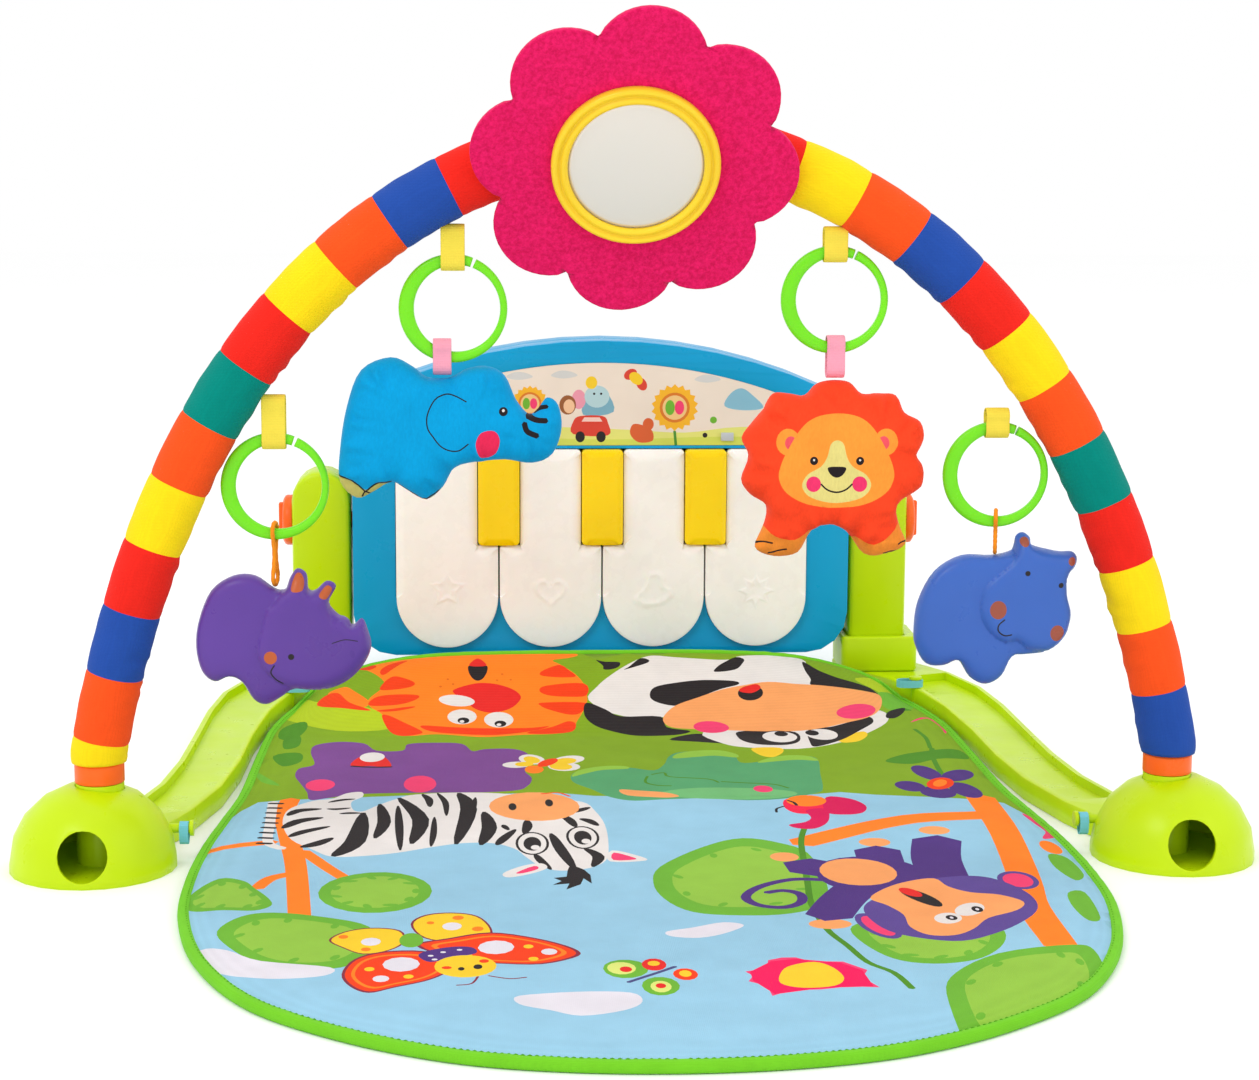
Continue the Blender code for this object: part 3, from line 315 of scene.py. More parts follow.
def inside(loop, points):
    """Which of the points lie within the loop."""
    p = np.array(points)
    result = np.zeros(len(p), bool)
    for (x0, y0), (x1, y1) in zip(loop, loop[1:] + loop[:1]):
        if y0 == y1:
            continue
        crosses = (p[:, 1] > min(y0, y1)) & (p[:, 1] <= max(y0, y1))
        result ^= crosses & (p[:, 0] < x0 + (p[:, 1] - y0) * (x1 - x0) / (y1 - y0))
    return result


# ---------------------------------------------------------------- mesh building
def make_object(name, verts, faces, material, colours=None, matrix=None):
    """A smooth-shaded mesh; colours, one a face, become its print."""
    mesh = bpy.data.meshes.new(name)
    mesh.from_pydata([tuple(v) for v in verts], [], faces)
    if colours is not None:
        layer = mesh.color_attributes.new("print", "FLOAT_COLOR", "CORNER")
        sizes = np.array([len(f) for f in faces])
        values = np.ones((sizes.sum(), 4), np.float32)
        values[:, :3] = np.repeat(np.array(colours, np.float32), sizes, axis=0)
        layer.data.foreach_set("color", values.ravel())
    mesh.polygons.foreach_set("use_smooth", [True] * len(faces))
    if matrix is not None:
        mesh.transform(matrix)
    mesh.materials.append(material)
    mesh.update()
    obj = bpy.data.objects.new(name, mesh)
    bpy.context.scene.collection.objects.link(obj)
    return obj


def fill_points(outline, spacing, rims):
    """Points inside an outline: rows that follow its edge, then an even field."""
    found = []
    loop = [Vector(p) for p in outline]
    count = len(loop)
    for rim in rims:
        row = []
        for i, p in enumerate(loop):
            along = (loop[(i + 1) % count] - loop[i - 1]).normalized()
            row.append((p.x - along.y * rim, p.y + along.x * rim))
        gaps, _ = nearest_on(outline, row)
        found += [p for p, gap, ok in zip(row, gaps, inside(outline, row)) if ok and gap > rim * 0.93]
    xs = [p[0] for p in outline]
    ys = [p[1] for p in outline]
    grid = []
    rows = int((max(ys) - min(ys)) / (spacing * 0.866)) + 2
    for j in range(rows):
        for i in range(int((max(xs) - min(xs)) / spacing) + 2):
            grid.append((min(xs) + (i + 0.5 * (j % 2)) * spacing, min(ys) + j * spacing * 0.866))
    gaps, _ = nearest_on(outline, grid)
    limit = (max(rims) if rims else 0.0) + spacing * 0.55
    found += [p for p, gap, ok in zip(grid, gaps, inside(outline, grid)) if ok and gap > limit]
    return found


def open_edges(triangles):
    """The edges with a triangle on one side only, each in its triangle's own direction."""
    edges = [(a, b) for f in triangles for a, b in zip(f, f[1:] + f[:1])]
    known = set(edges)
    return [(a, b) for a, b in edges if (b, a) not in known]


def cut_print(outline, art, spacing, rims=()):
    """Triangles that fill an outline and follow the edges of the art printed on it.

    Returns the points, the triangles, each one's colour index (0 is plain), and which
    points are on the outline.
    """
    points = []
    loops = []
    for loop in [outline] + [shape for _, shape in art]:
        first = len(points)
        points += [Vector(p) for p in anticlockwise(loop)]
        loops.append(list(range(first, len(points))))
    points += [Vector(p) for p in fill_points(anticlockwise(outline), spacing, rims)]
    verts, _, faces, _, _, owners = delaunay_2d_cdt(points, [], loops, 0, 1e-4, True)
    kept = [(f, max(o)) for f, o in zip(faces, owners) if 0 in o]
    used = sorted({i for f, _ in kept for i in f})
    index = {v: n for n, v in enumerate(used)}
    flat = [(verts[i].x, verts[i].y) for i in used]
    triangles = [tuple(index[i] for i in f) for f, _ in kept]
    rim = sorted({i for edge in open_edges(triangles) for i in edge})
    return flat, triangles, [c for _, c in kept], rim


def membrane(points, triangles, fixed):
    """Soap-film height over a flat mesh under unit pressure, 0 at the fixed points."""
    p = np.array(points, float)
    t = np.array(triangles)
    size = len(p)
    load = np.zeros(size)
    ends_a = []
    ends_b = []
    weights = []
    for k in range(3):
        i, j, o = t[:, k], t[:, (k + 1) % 3], t[:, (k + 2) % 3]
        u = p[i] - p[o]
        v = p[j] - p[o]
        cross = np.abs(u[:, 0] * v[:, 1] - u[:, 1] * v[:, 0])
        weights.append(np.clip((u * v).sum(1) / np.maximum(cross, 1e-9) / 2, 0.0005, 20.0))
        ends_a.append(i)
        ends_b.append(j)
        load += np.bincount(i, cross / 6, size)
    a = np.concatenate(ends_a)
    b = np.concatenate(ends_b)
    w = np.concatenate(weights)
    free = np.ones(size, bool)
    free[fixed] = False
    diagonal = np.bincount(a, w, size) + np.bincount(b, w, size)

    def apply(x):
        flow = w * (x[a] - x[b])
        return (np.bincount(a, flow, size) - np.bincount(b, flow, size)) * free

    x = np.zeros(size)
    r = load * free
    z = r / diagonal
    d = z.copy()
    rz = r @ z
    for _ in range(600):
        ad = apply(d)
        step = rz / (d @ ad)
        x += step * d
        r -= step * ad
        z = r / diagonal
        fresh = r @ z
        if fresh < 1e-14 * load.sum():
            break
        d = z + d * fresh / rz
        rz = fresh
    return x


def rounded(film, cap, power=3.0):
    """Turn a film's height into a stuffed one: round in narrow places, capped in wide ones."""
    full = np.sqrt(np.maximum(2 * film, 0.0))
    return full / (1 + (full / cap) ** power) ** (1 / power)


def pillow(name, outline, art, material, plain, front, back, matrix, spacing=2.4, rims=(0.35, 1.0, 2.0, 3.4),
           forms=(), crease=None, back_art=0):
    """A closed stuffed or moulded form between two faces that meet at the outline.

    front and back cap the height of each face. forms are (loop, rise) lobes raised on
    both faces. crease(points, gaps, nearest) scales the height. The first back_art
    shapes also show on the back.
    """
    outline = anticlockwise(outline)
    shapes = [(plain, loop) for loop, _ in forms] + list(art)
    flat, triangles, printed, rim = cut_print(outline, shapes, spacing, rims)
    points = np.array(flat)
    film = membrane(points, triangles, rim)
    gaps, nearest = nearest_on(outline, points)
    scale = np.ones(len(points)) if crease is None else crease(points, gaps, nearest)
    on_rim = np.zeros(len(points), bool)
    on_rim[rim] = True
    faces = []
    for cap in (front, back):
        height = rounded(film, cap) * scale
        for loop, rise in forms:
            held = inside(anticlockwise(loop), points)
            deep, _ = nearest_on(loop, points)
            reach = np.minimum(deep / (rise * 2.2), 1.0)
            height += held * rise * np.sqrt(1 - (1 - reach) ** 2) * np.minimum(film / (film.max() * 0.04), 1.0)
        height[on_rim] = 0.0
        faces.append(height)
    verts = [(x, y, h) for (x, y), h in zip(flat, faces[0])]
    under = {}
    for i, ((x, y), h) in enumerate(zip(flat, faces[1])):
        if on_rim[i]:
            under[i] = i
        else:
            under[i] = len(verts)
            verts.append((x, y, -h))
    plain_count = len(forms)
    palette = [plain] + [colour for colour, _ in shapes]
    colours = [palette[c] for c in printed]
    colours += [palette[c] if c <= plain_count + back_art else plain for c in printed]
    everything = triangles + [tuple(under[i] for i in reversed(f)) for f in triangles]
    return make_object(name, [Vector(v) * MM for v in verts], everything, material, colours, matrix)


def sweep(name, path, section, axis, material, closed=False, colours=None):
    """Carry a closed section along a path. section(i) gives (across, along axis) points."""
    path = [Vector(p) for p in path]
    count = len(path)
    verts = []
    for i, p in enumerate(path):
        if closed:
            along = path[(i + 1) % count] - path[i - 1]
        else:
            along = path[min(i + 1, count - 1)] - path[max(i - 1, 0)]
        across = axis.cross(along).normalized()
        side = along.normalized().cross(across) * -1
        for a, b in section(i):
            verts.append(p + across * a - side * b)
    sides = len(section(0))
    faces = []
    tones = []
    spans = count if closed else count - 1
    for i in range(spans):
        for k in range(sides):
            a = i * sides + k
            b = i * sides + (k + 1) % sides
            c = ((i + 1) % count) * sides + (k + 1) % sides
            d = ((i + 1) % count) * sides + k
            faces.append((a, b, c, d))
            tones.append(colours[i] if colours else None)
    if not closed:
        faces.append(tuple(range(sides))[::-1])
        faces.append(tuple(range((count - 1) * sides, count * sides)))
        tones += [tones[0], tones[-1]]
    obj = make_object(name, verts, faces, material, tones if colours else None)
    fix_normals(obj)
    return obj


def rework(obj, change):
    """Change a piece's mesh through a bmesh."""
    work = bmesh.new()
    work.from_mesh(obj.data)
    change(work)
    work.to_mesh(obj.data)
    work.free()


def fix_normals(obj):
    rework(obj, lambda work: bmesh.ops.recalc_face_normals(work, faces=work.faces))


def squared(count, half_a, half_b, power_a, power_b):
    """A closed section between an ellipse and a rectangle: lower powers are squarer."""
    loop = []
    for k in range(count):
        a, b = math.cos(2 * math.pi * k / count), math.sin(2 * math.pi * k / count)
        loop.append((math.copysign(abs(a) ** power_a, a) * half_a * MM,
                     math.copysign(abs(b) ** power_b, b) * half_b * MM))
    return loop


def lathe(name, profile, steps, matrix, material):
    """Turn a closed profile of (radius, height) points, in millimetres, about Z."""
    verts = []
    rings = []
    for radius, height in profile:
        if radius == 0:
            rings.append([len(verts)] * steps)
            verts.append((0.0, 0.0, height))
        else:
            rings.append(list(range(len(verts), len(verts) + steps)))
            verts += [(radius * math.cos(2 * math.pi * i / steps), radius * math.sin(2 * math.pi * i / steps),
                       height) for i in range(steps)]
    closed = profile[0][0] != 0
    pairs = list(zip(rings, rings[1:])) + ([(rings[-1], rings[0])] if closed else [])
    faces = []
    for upper, lower in pairs:
        for i in range(steps):
            j = (i + 1) % steps
            face = []
            for v in (upper[i], lower[i], lower[j], upper[j]):
                if v not in face:
                    face.append(v)
            if len(face) > 2:
                faces.append(tuple(face))
    obj = make_object(name, [Vector(v) * MM for v in verts], faces, material, None, matrix)
    fix_normals(obj)
    return obj


def settle(obj, body, slot, *stands_for):
    """Make a piece ride on its body and stand for its CAD nodes; slot is not used."""
    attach(obj, body)
    if stands_for:
        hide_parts(*stands_for)
    return obj


# ---------------------------------------------------------------- art printed on the mat
def field_art():
    """Grass behind, sky in front, leaves at both sides."""
    return [
        (FIELD, [(-262, -45), (-246, -42), (-241, -12), (-231, 16), (-222, 32), (-192, 34), (-120, 41),
            (-40, 42), (-20, 36), (40, 31), (100, 32), (130, 38), (150, 30), (200, 22), (226, 14), (236, -12),
            (262, -20), (262, 372), (-262, 372)]),
        (LIGHT_FIELD, blob((-216, 330), (-200, 300), (-168, 285), (-150, 255), (-150, 218), (-185, 215),
            (-215, 245), (-226, 290))),
        (LIGHT_FIELD, blob((188, 372), (196, 330), (206, 300), (220, 340), (224, 372))),
        (DARK_LEAF, blob((-222, 230), (-208, 243), (-205, 220), (-212, 190), (-222, 200))),
        (DARK_LEAF, blob((-218, 195), (-208, 200), (-207, 170), (-216, 165))),
        (DARK_LEAF, blob((-222, 150), (-205, 152), (-203, 130), (-214, 120))),
        (LEAF, blob((-232, 120), (-222, 95), (-212, 70), (-224, 84))),
        (LEAF, blob((196, 320), (214, 322), (216, 280), (204, 262), (194, 270))),
        (DARK_LEAF, blob((170, 116), (184, 134), (200, 142), (224, 152), (226, 128), (205, 122), (186, 108))),
        (DARK_LEAF, stroke([(200, 78), (202, 120), (206, 150)], 3.5)),
        (PINK, stroke([(205, 226), (220, 246), (226, 222), (224, 200)], 4, True)),
        (DARK_LEAF, stroke([(192, 244), (200, 260), (210, 268)], 7)),
        (DARK_LEAF, stroke([(205, 150), (207, 180), (204, 205)], 3)),
        (LEAF, blob((228, -100), (238, -104), (240, -135), (232, -150), (226, -128))),
        (LEAF, blob((222, -175), (232, -172), (230, -215), (222, -222), (219, -200)))]


def tiger_art():
    """A tiger seen upside down."""
    art = [
        (ORANGE, blob((-186, 352), (-178, 336), (-166, 300), (-172, 282), (-186, 300), (-197, 330))),
        (DEEP_ORANGE, blob((-202, 292), (-199, 322), (-190, 332), (-180, 300), (-164, 274), (-184, 282))),
        (ORANGE, blob((-172, 412), (-160, 376), (-158, 350), (-167, 310), (-165, 285), (-157, 265), (-152, 235),
            (-147, 208), (-136, 196), (-118, 199), (-90, 191), (-60, 197), (-38, 199), (-26, 212), (-23, 235),
            (-18, 262), (-13, 300), (-13, 350), (-18, 390), (-28, 428), (-33, 446), (-20, 458), (-13, 472),
            (-18, 484), (-50, 494), (-80, 506), (-140, 514), (-166, 500), (-182, 470), (-184, 430))),
        (DEEP_ORANGE, blob((-184, 480), (-174, 474), (-172, 452), (-166, 430), (-172, 414), (-182, 430))),
        (DEEP_ORANGE, stroke([(-160, 392), (-158, 412), (-152, 436), (-144, 452)], 9, True)),
        (DEEP_ORANGE, blob((-28, 426), (-22, 404), (-18, 382), (-28, 378), (-42, 384), (-44, 396), (-38, 412))),
        (DEEP_ORANGE, blob((-160, 340), (-148, 341), (-138, 350), (-136, 364), (-144, 380), (-152, 386),
            (-158, 366))),
        (DEEP_ORANGE, blob((-166, 290), (-163, 314), (-152, 323), (-133, 322), (-134, 306), (-146, 290))),
        (DEEP_ORANGE, stroke([(-160, 272), (-148, 274), (-134, 284)], 8, True)),
        (DEEP_ORANGE, blob((-156, 256), (-151, 257), (-140, 235), (-129, 212), (-128, 202), (-140, 196),
            (-149, 210))),
        (DEEP_ORANGE, blob((-13, 356), (-13, 316), (-28, 312), (-41, 318), (-46, 334), (-40, 350))),
        (DEEP_ORANGE, blob((-15, 292), (-19, 262), (-27, 256), (-40, 270), (-46, 282), (-45, 293))),
        (DEEP_ORANGE, blob((-58, 202), (-40, 199), (-27, 206), (-24, 228), (-29, 236), (-40, 220))),
        (DEEP_ORANGE, blob((-128, 225), (-100, 217), (-60, 216), (-42, 222), (-56, 206), (-80, 197),
            (-104, 199), (-122, 208))),
        (BLACK, blob((-96, 426), (-97, 404), (-94, 378), (-90, 369), (-86, 378), (-83, 404), (-84, 426))),
        (RED, blob((-96, 424), (-94, 444), (-90, 456), (-86, 444), (-84, 424))),
        (RED, blob((-92, 360), (-78, 358), (-66, 341), (-60, 318), (-61, 298), (-68, 274), (-80, 262),
            (-90, 270), (-97, 290), (-106, 322), (-107, 340))),
        (WHITE, ellipse(-105, 302, 12, 20, 15))]
    for x, y in ((-117, 350), (-112, 375), (-108, 358), (-76, 370), (-72, 392), (-66, 372)):
        art.append((srgb(226, 104, 20), ellipse(x, y, 1.0, 3.4, count=10)))
    for x, y in ((-101, 250), (-76, 241)):
        art += [
            (WHITE, ellipse(x, y, 10, 23)), (BLACK, ellipse(x + 1, y - 12, 4, 9)),
            (WHITE, ellipse(x, y - 15, 1.6, 4))]
    return art


def cow_art():
    """A black and white cow with a wide peach muzzle, seen upside down."""
    return [
        (WHITE, blob((-12, 300), (-4, 345), (6, 380), (20, 420), (36, 455), (46, 464), (60, 455), (88, 444),
            (104, 446), (112, 462), (140, 470), (158, 450), (158, 400), (164, 360), (175, 300), (160, 200),
            (60, 240), (10, 250))),
        (BLACK, blob((-14, 292), (-2, 272), (8, 250), (35, 246), (37, 215), (52, 203), (40, 191), (15, 191),
            (-2, 206), (-12, 225), (-17, 255))),
        (BLACK, blob((32, 308), (37, 340), (55, 357), (76, 366), (97, 362), (99, 350), (84, 333), (66, 305),
            (50, 280), (38, 288))),
        (BLACK, blob((152, 345), (168, 338), (190, 322), (196, 308), (194, 334), (186, 352), (174, 372),
            (164, 400), (157, 436), (154, 400), (154, 366))),
        (BLACK, blob((0, 448), (6, 440), (17, 437), (16, 420), (10, 409), (4, 409), (4, 424))),
        (BLACK, blob((19, 407), (24, 420), (34, 452), (40, 444), (38, 432), (28, 418))),
        (BLACK, blob((86, 396), (90, 416), (98, 436), (108, 456), (113, 446), (110, 428), (102, 404))),
        (BLACK, blob((36, 178), (52, 194), (64, 190), (74, 166), (52, 172))),
        (WHITE, blob((60, 198), (70, 166), (86, 154), (118, 149), (150, 168), (178, 205), (192, 240),
            (185, 262), (150, 240), (100, 225))),
        (YELLOW, blob((150, 166), (161, 170), (169, 186), (168, 197), (158, 190), (148, 176))),
        (YELLOW, blob((88, 152), (106, 152), (107, 140), (99, 128), (91, 134))),
        (BLACK, blob((84, 200), (82, 184), (86, 170), (96, 161), (112, 160), (122, 172), (122, 198),
            (104, 204))),
        (BLACK, blob((128, 166), (131, 155), (150, 174), (166, 200), (179, 226), (178, 243), (164, 228),
            (148, 212), (132, 205))),
        (PEACH, blob((36, 230), (38, 250), (48, 280), (65, 305), (85, 332), (102, 347), (122, 360), (142, 350),
            (162, 342), (186, 325), (196, 314), (195, 290), (188, 260), (177, 240), (160, 224), (142, 209),
            (120, 201), (85, 203), (52, 209), (40, 215))),
        (PINK, ellipse(67, 214, 12, 18)), (PINK, ellipse(172, 259, 13, 24, -20)),
        (BLACK, ellipse(105, 322, 9, 25, -8)),
        (RED, blob((98, 326), (100, 338), (112, 352), (114, 338), (106, 322))),
        (BLACK, ellipse(110, 184, 13, 19)), (WHITE, ellipse(110, 184, 11.5, 17)),
        (BLACK, ellipse(112, 193, 4.5, 8)), (WHITE, ellipse(139, 190, 10.5, 16)),
        (BLACK, ellipse(133, 195, 4.5, 8)),
        (BLACK, blob((190, 240), (195, 258), (208, 272), (204, 254), (196, 238)))]


def meadow_art():
    """A violet calf, a green one lying down, a small moth and a dark flower."""
    art = [
        (VIOLET, blob((-198, 152), (-196, 172), (-181, 182), (-165, 178), (-156, 157), (-139, 156), (-136, 173),
            (-120, 176), (-101, 172), (-94, 152), (-86, 157), (-70, 157), (-60, 148), (-57, 130), (-61, 100),
            (-57, 80), (-60, 60), (-70, 48), (-110, 46), (-160, 45), (-180, 36), (-191, 32), (-194, 50),
            (-200, 74), (-204, 92), (-203, 112), (-194, 122))),
        (RED, blob((-171, 118), (-165, 142), (-152, 143), (-145, 112), (-158, 115))),
        (BLACK, stroke([(-170, 116), (-158, 112), (-145, 111)], 3)), (WHITE, ellipse(-158, 139, 8, 13)),
        (PINK, ellipse(-126, 68, 10, 21)), (PINK, ellipse(-187, 67, 9, 14)),
        (TEAL, blob((-32, 70), (-30, 92), (-14, 105), (4, 102), (20, 94), (28, 112), (32, 132), (40, 144),
            (60, 146), (74, 140), (77, 116), (90, 118), (102, 128), (118, 131), (127, 122), (124, 85),
            (121, 50), (116, 38), (96, 27), (72, 22), (45, 26), (24, 24), (4, 22), (-10, 32), (-20, 50))),
        (srgb(112, 184, 116), ellipse(62, 38, 42, 14)),
        (PEACH, blob((-4, 50), (0, 36), (20, 28), (31, 31), (24, 40), (8, 47))), (PINK, ellipse(84, 49, 6, 8))]
    for foot in (((35, 128), (38, 140), (50, 147), (66, 147), (76, 138), (76, 129), (62, 134), (48, 131)),
            ((88, 115), (94, 124), (108, 132), (122, 130), (127, 118), (114, 121), (100, 118)), ((-32, 82),
            (-27, 97), (-12, 107), (2, 106), (4, 99), (-12, 97), (-24, 88))):
        art.append((LIGHT_LEAF, blob(*foot)))
    for line in (((18, 84), (26, 88), (29, 78), (52, 72), (58, 64)), ((60, 66), (76, 63), (92, 60), (100, 51)),
            ((15, 80), (13, 66), (20, 58), (28, 56))):
        art.append((DARK_LEAF, stroke(line, 1.8)))
    for x, y, rx, ry, tilt, colour in ((-56, 128, 8, 14, 12, WHITE), (-66, 115, 9, 8, 0, WHITE),
            (-32, 126, 9, 12, -30, WHITE), (-36, 108, 10, 12, 20, WHITE), (-56, 127, 5, 10, 12, YELLOW),
            (-61, 116, 6, 6, 0, YELLOW), (-35, 122, 7, 9, -30, YELLOW), (-38, 108, 7, 9, 20, YELLOW),
            (-55, 102, 6, 10, 0, ORANGE), (-46, 119, 5, 12, -25, DEEP_ORANGE)):
        art.append((colour, ellipse(x, y, rx, ry, tilt, 16)))
    for x, y, rx, ry, tilt in ((191, 84, 8, 20, 8), (210, 79, 9, 18, -28), (175, 50, 9, 13, 10),
            (190, 36, 11, 14, 0), (208, 42, 9, 19, 8)):
        art.append((PURPLE, ellipse(x, y, rx, ry, tilt)))
    art += [(DEEP_ORANGE, ellipse(195, 57, 8, 15, -22)), (ORANGE, ellipse(195, 58, 4, 9, -22))]
    return art


def tree_art():
    """Orange trunks, round leaves, clouds and a stem across the sky."""
    art = []
    for points, width in ((((-203, 34), (-204, 0), (-198, -50), (-190, -110), (-182, -202)), 12), (((-252, -82),
            (-242, -68), (-206, -60)), 9), (((-188, -80), (-176, -105), (-162, -134)), 8), (((-190, -122),
            (-202, -132), (-208, -150)), 8), (((92, -74), (122, -50), (162, -26), (208, -18)), 19), (((214, 26),
            (212, -60), (204, -150), (198, -200), (198, -266)), 18)):
        art.append((ORANGE, stroke(points, width)))
    leaves = (blob((-230, -129), (-216, -136), (-209, -150), (-200, -170), (-198, -182), (-206, -190),
        (-222, -188), (-236, -185), (-245, -170), (-243, -152)), ellipse(-145, -160, 30, 38), blob((-212, -200),
        (-196, -194), (-168, -204), (-146, -220), (-139, -250), (-152, -281), (-174, -287), (-196, -276),
        (-214, -248), (-222, -222)), blob((36, -80), (60, -63), (80, -74), (93, -96), (96, -150), (90, -190),
        (70, -207), (44, -210), (20, -203), (7, -180), (3, -150), (9, -118)), blob((97, -235), (112, -222),
        (160, -216), (174, -236), (170, -262), (155, -284), (135, -291), (115, -285), (103, -266)),
        blob((204, -263), (214, -268), (212, -300), (198, -330), (176, -358), (150, -380), (128, -388),
        (128, -335), (138, -305), (164, -278)))
    for loop in leaves:
        inner = scaled(loop, 0.78)
        art += [(LEAF, loop), (LIGHT_LEAF, inner)]
        for i in range(0, len(inner), max(len(inner) // 8, 1)):
            x, y = scaled(inner, 0.92)[i]
            art.append((LEAF, ellipse(x, y, 2.2, 4.5, 35 * i, 8)))
    for cloud in (((-228, -246), (-214, -253), (-196, -272), (-162, -284), (-164, -296), (-186, -298),
            (-206, -290), (-220, -279), (-230, -288), (-235, -262)), ((-72, -330), (-46, -326), (-20, -328),
            (-15, -340), (-24, -351), (-44, -357), (-58, -349), (-72, -341)), ((4, -234), (18, -228),
            (34, -221), (44, -226), (34, -238), (20, -245), (6, -242))):
        art.append((CLOUD, blob(*cloud)))
    art.append((DARK_LEAF, stroke([(98, -42), (92, -75), (86, -150), (83, -190), (85, -232), (92, -262),
        (98, -288), (108, -304), (113, -328)], 3.6)))
    return art


def zebra_art():
    """A zebra with curling stripes and a dark tuft."""
    art = [
        (WHITE, stroke([(-213, 30), (-211, -20), (-209, -60), (-200, -74)], 6)),
        (WHITE, blob((-204, 0), (-200, 16), (-189, 30), (-178, 34), (-170, 46), (-161, 49), (-160, 38),
            (-166, 26), (-164, 8), (-158, 5), (-150, 17), (-138, 33), (-128, 42), (-100, 46), (-78, 43),
            (-50, 30), (-28, 22), (-21, 0), (-17, -30), (-17, -70), (-20, -105), (-30, -122), (-46, -126),
            (-56, -118), (-64, -98), (-70, -80), (-82, -68), (-100, -68), (-116, -75), (-136, -85), (-156, -90),
            (-172, -90), (-182, -78), (-196, -56), (-203, -26)))]
    for k in range(9):
        art.append((BLACK, stroke([(-215, 27 - 11 * k), (-207, 25 - 11 * k)], 3.4)))
    stripes = (((-202, -3), (-196, 8), (-183, 12), 7), ((-203, -31), (-195, -15), (-181, -7), 8), ((-198, -50),
        (-190, -38), (-176, -27), 7), ((-190, -72), (-182, -65), (-173, -52), 8), ((-171, -90), (-160, -60),
        (-158, 2), 12), ((-149, 20), (-145, -20), (-149, -55), 8), ((-138, 15), (-136, -30), (-134, -80), 5),
        ((-138, 34), (-124, -15), (-128, -68), 10), ((-116, -10), (-116, -45), (-117, -74), 4), ((-124, 43),
        (-120, 30), (-119, 12), 5), ((-115, 45), (-110, 22), (-109, -8), 4), ((-102, 45), (-96, 5), (-103, -70),
        10), ((-92, 33), (-94, 5), (-101, -20), 4), ((-87, 0), (-84, -35), (-89, -72), 9), ((-76, -28),
        (-75, -33), (-73, -40), 4), ((-69, -38), (-76, -58), (-80, -72), 6), ((-180, 26), (-172, 31),
        (-164, 33), 4), ((-180, 12), (-174, 11), (-166, 13), 4), ((-172, 1), (-166, 2), (-159, 1), 4),
        ((-62, -18), (-62, -32), (-64, -48), 6), ((-42, -4), (-37, -18), (-34, -34), 6), ((-36, -2), (-30, 4),
        (-24, 10), 6), ((-31, -15), (-26, -20), (-21, -32), 6), ((-49, -48), (-44, -85), (-38, -124), 7),
        ((-31, -80), (-24, -98), (-28, -120), 7), ((-59, -92), (-56, -106), (-51, -124), 5))
    for first, middle, last, width in stripes:
        art.append((BLACK, stroke((first, middle, last), width, True)))
    for x, y in ((-60, -69), (-31, -57)):
        art += [
            (BLACK, ellipse(x, y, 9.5, 25)), (WHITE, ellipse(x, y, 8, 22.5)), (BLACK, ellipse(x, y - 1, 5, 15)),
            (WHITE, ellipse(x + 1.5, y - 9, 2.5, 5))]
    art += [
        (PEACH, ellipse(-57, 12, 27, 32)), (BLACK, ellipse(-70, 11, 2.4, 8)), (BLACK, ellipse(-48, 20, 2.4, 8)),
        (DEEP_ORANGE, stroke([(-52, 40), (-42, 43), (-35, 35)], 1.8)),
        (WHITE, blob((-16, -86), (-2, -96), (2, -106), (-18, -108))),
        (PINK, blob((-15, -90), (-5, -99), (-4, -104), (-16, -105), steps=3)),
        (WHITE, blob((-56, -111), (-66, -115), (-77, -128), (-74, -136), (-60, -129), (-53, -120))),
        (PINK, blob((-60, -116), (-70, -128), (-66, -129), (-58, -122), steps=3)),
        (BLACK, [(-40, -114), (-33, -125), (-30, -135), (-30, -151), (-34, -141), (-36, -152), (-44, -161),
            (-42, -150), (-51, -152), (-46, -145), (-50, -139), (-43, -137), (-42, -125)])]
    return art


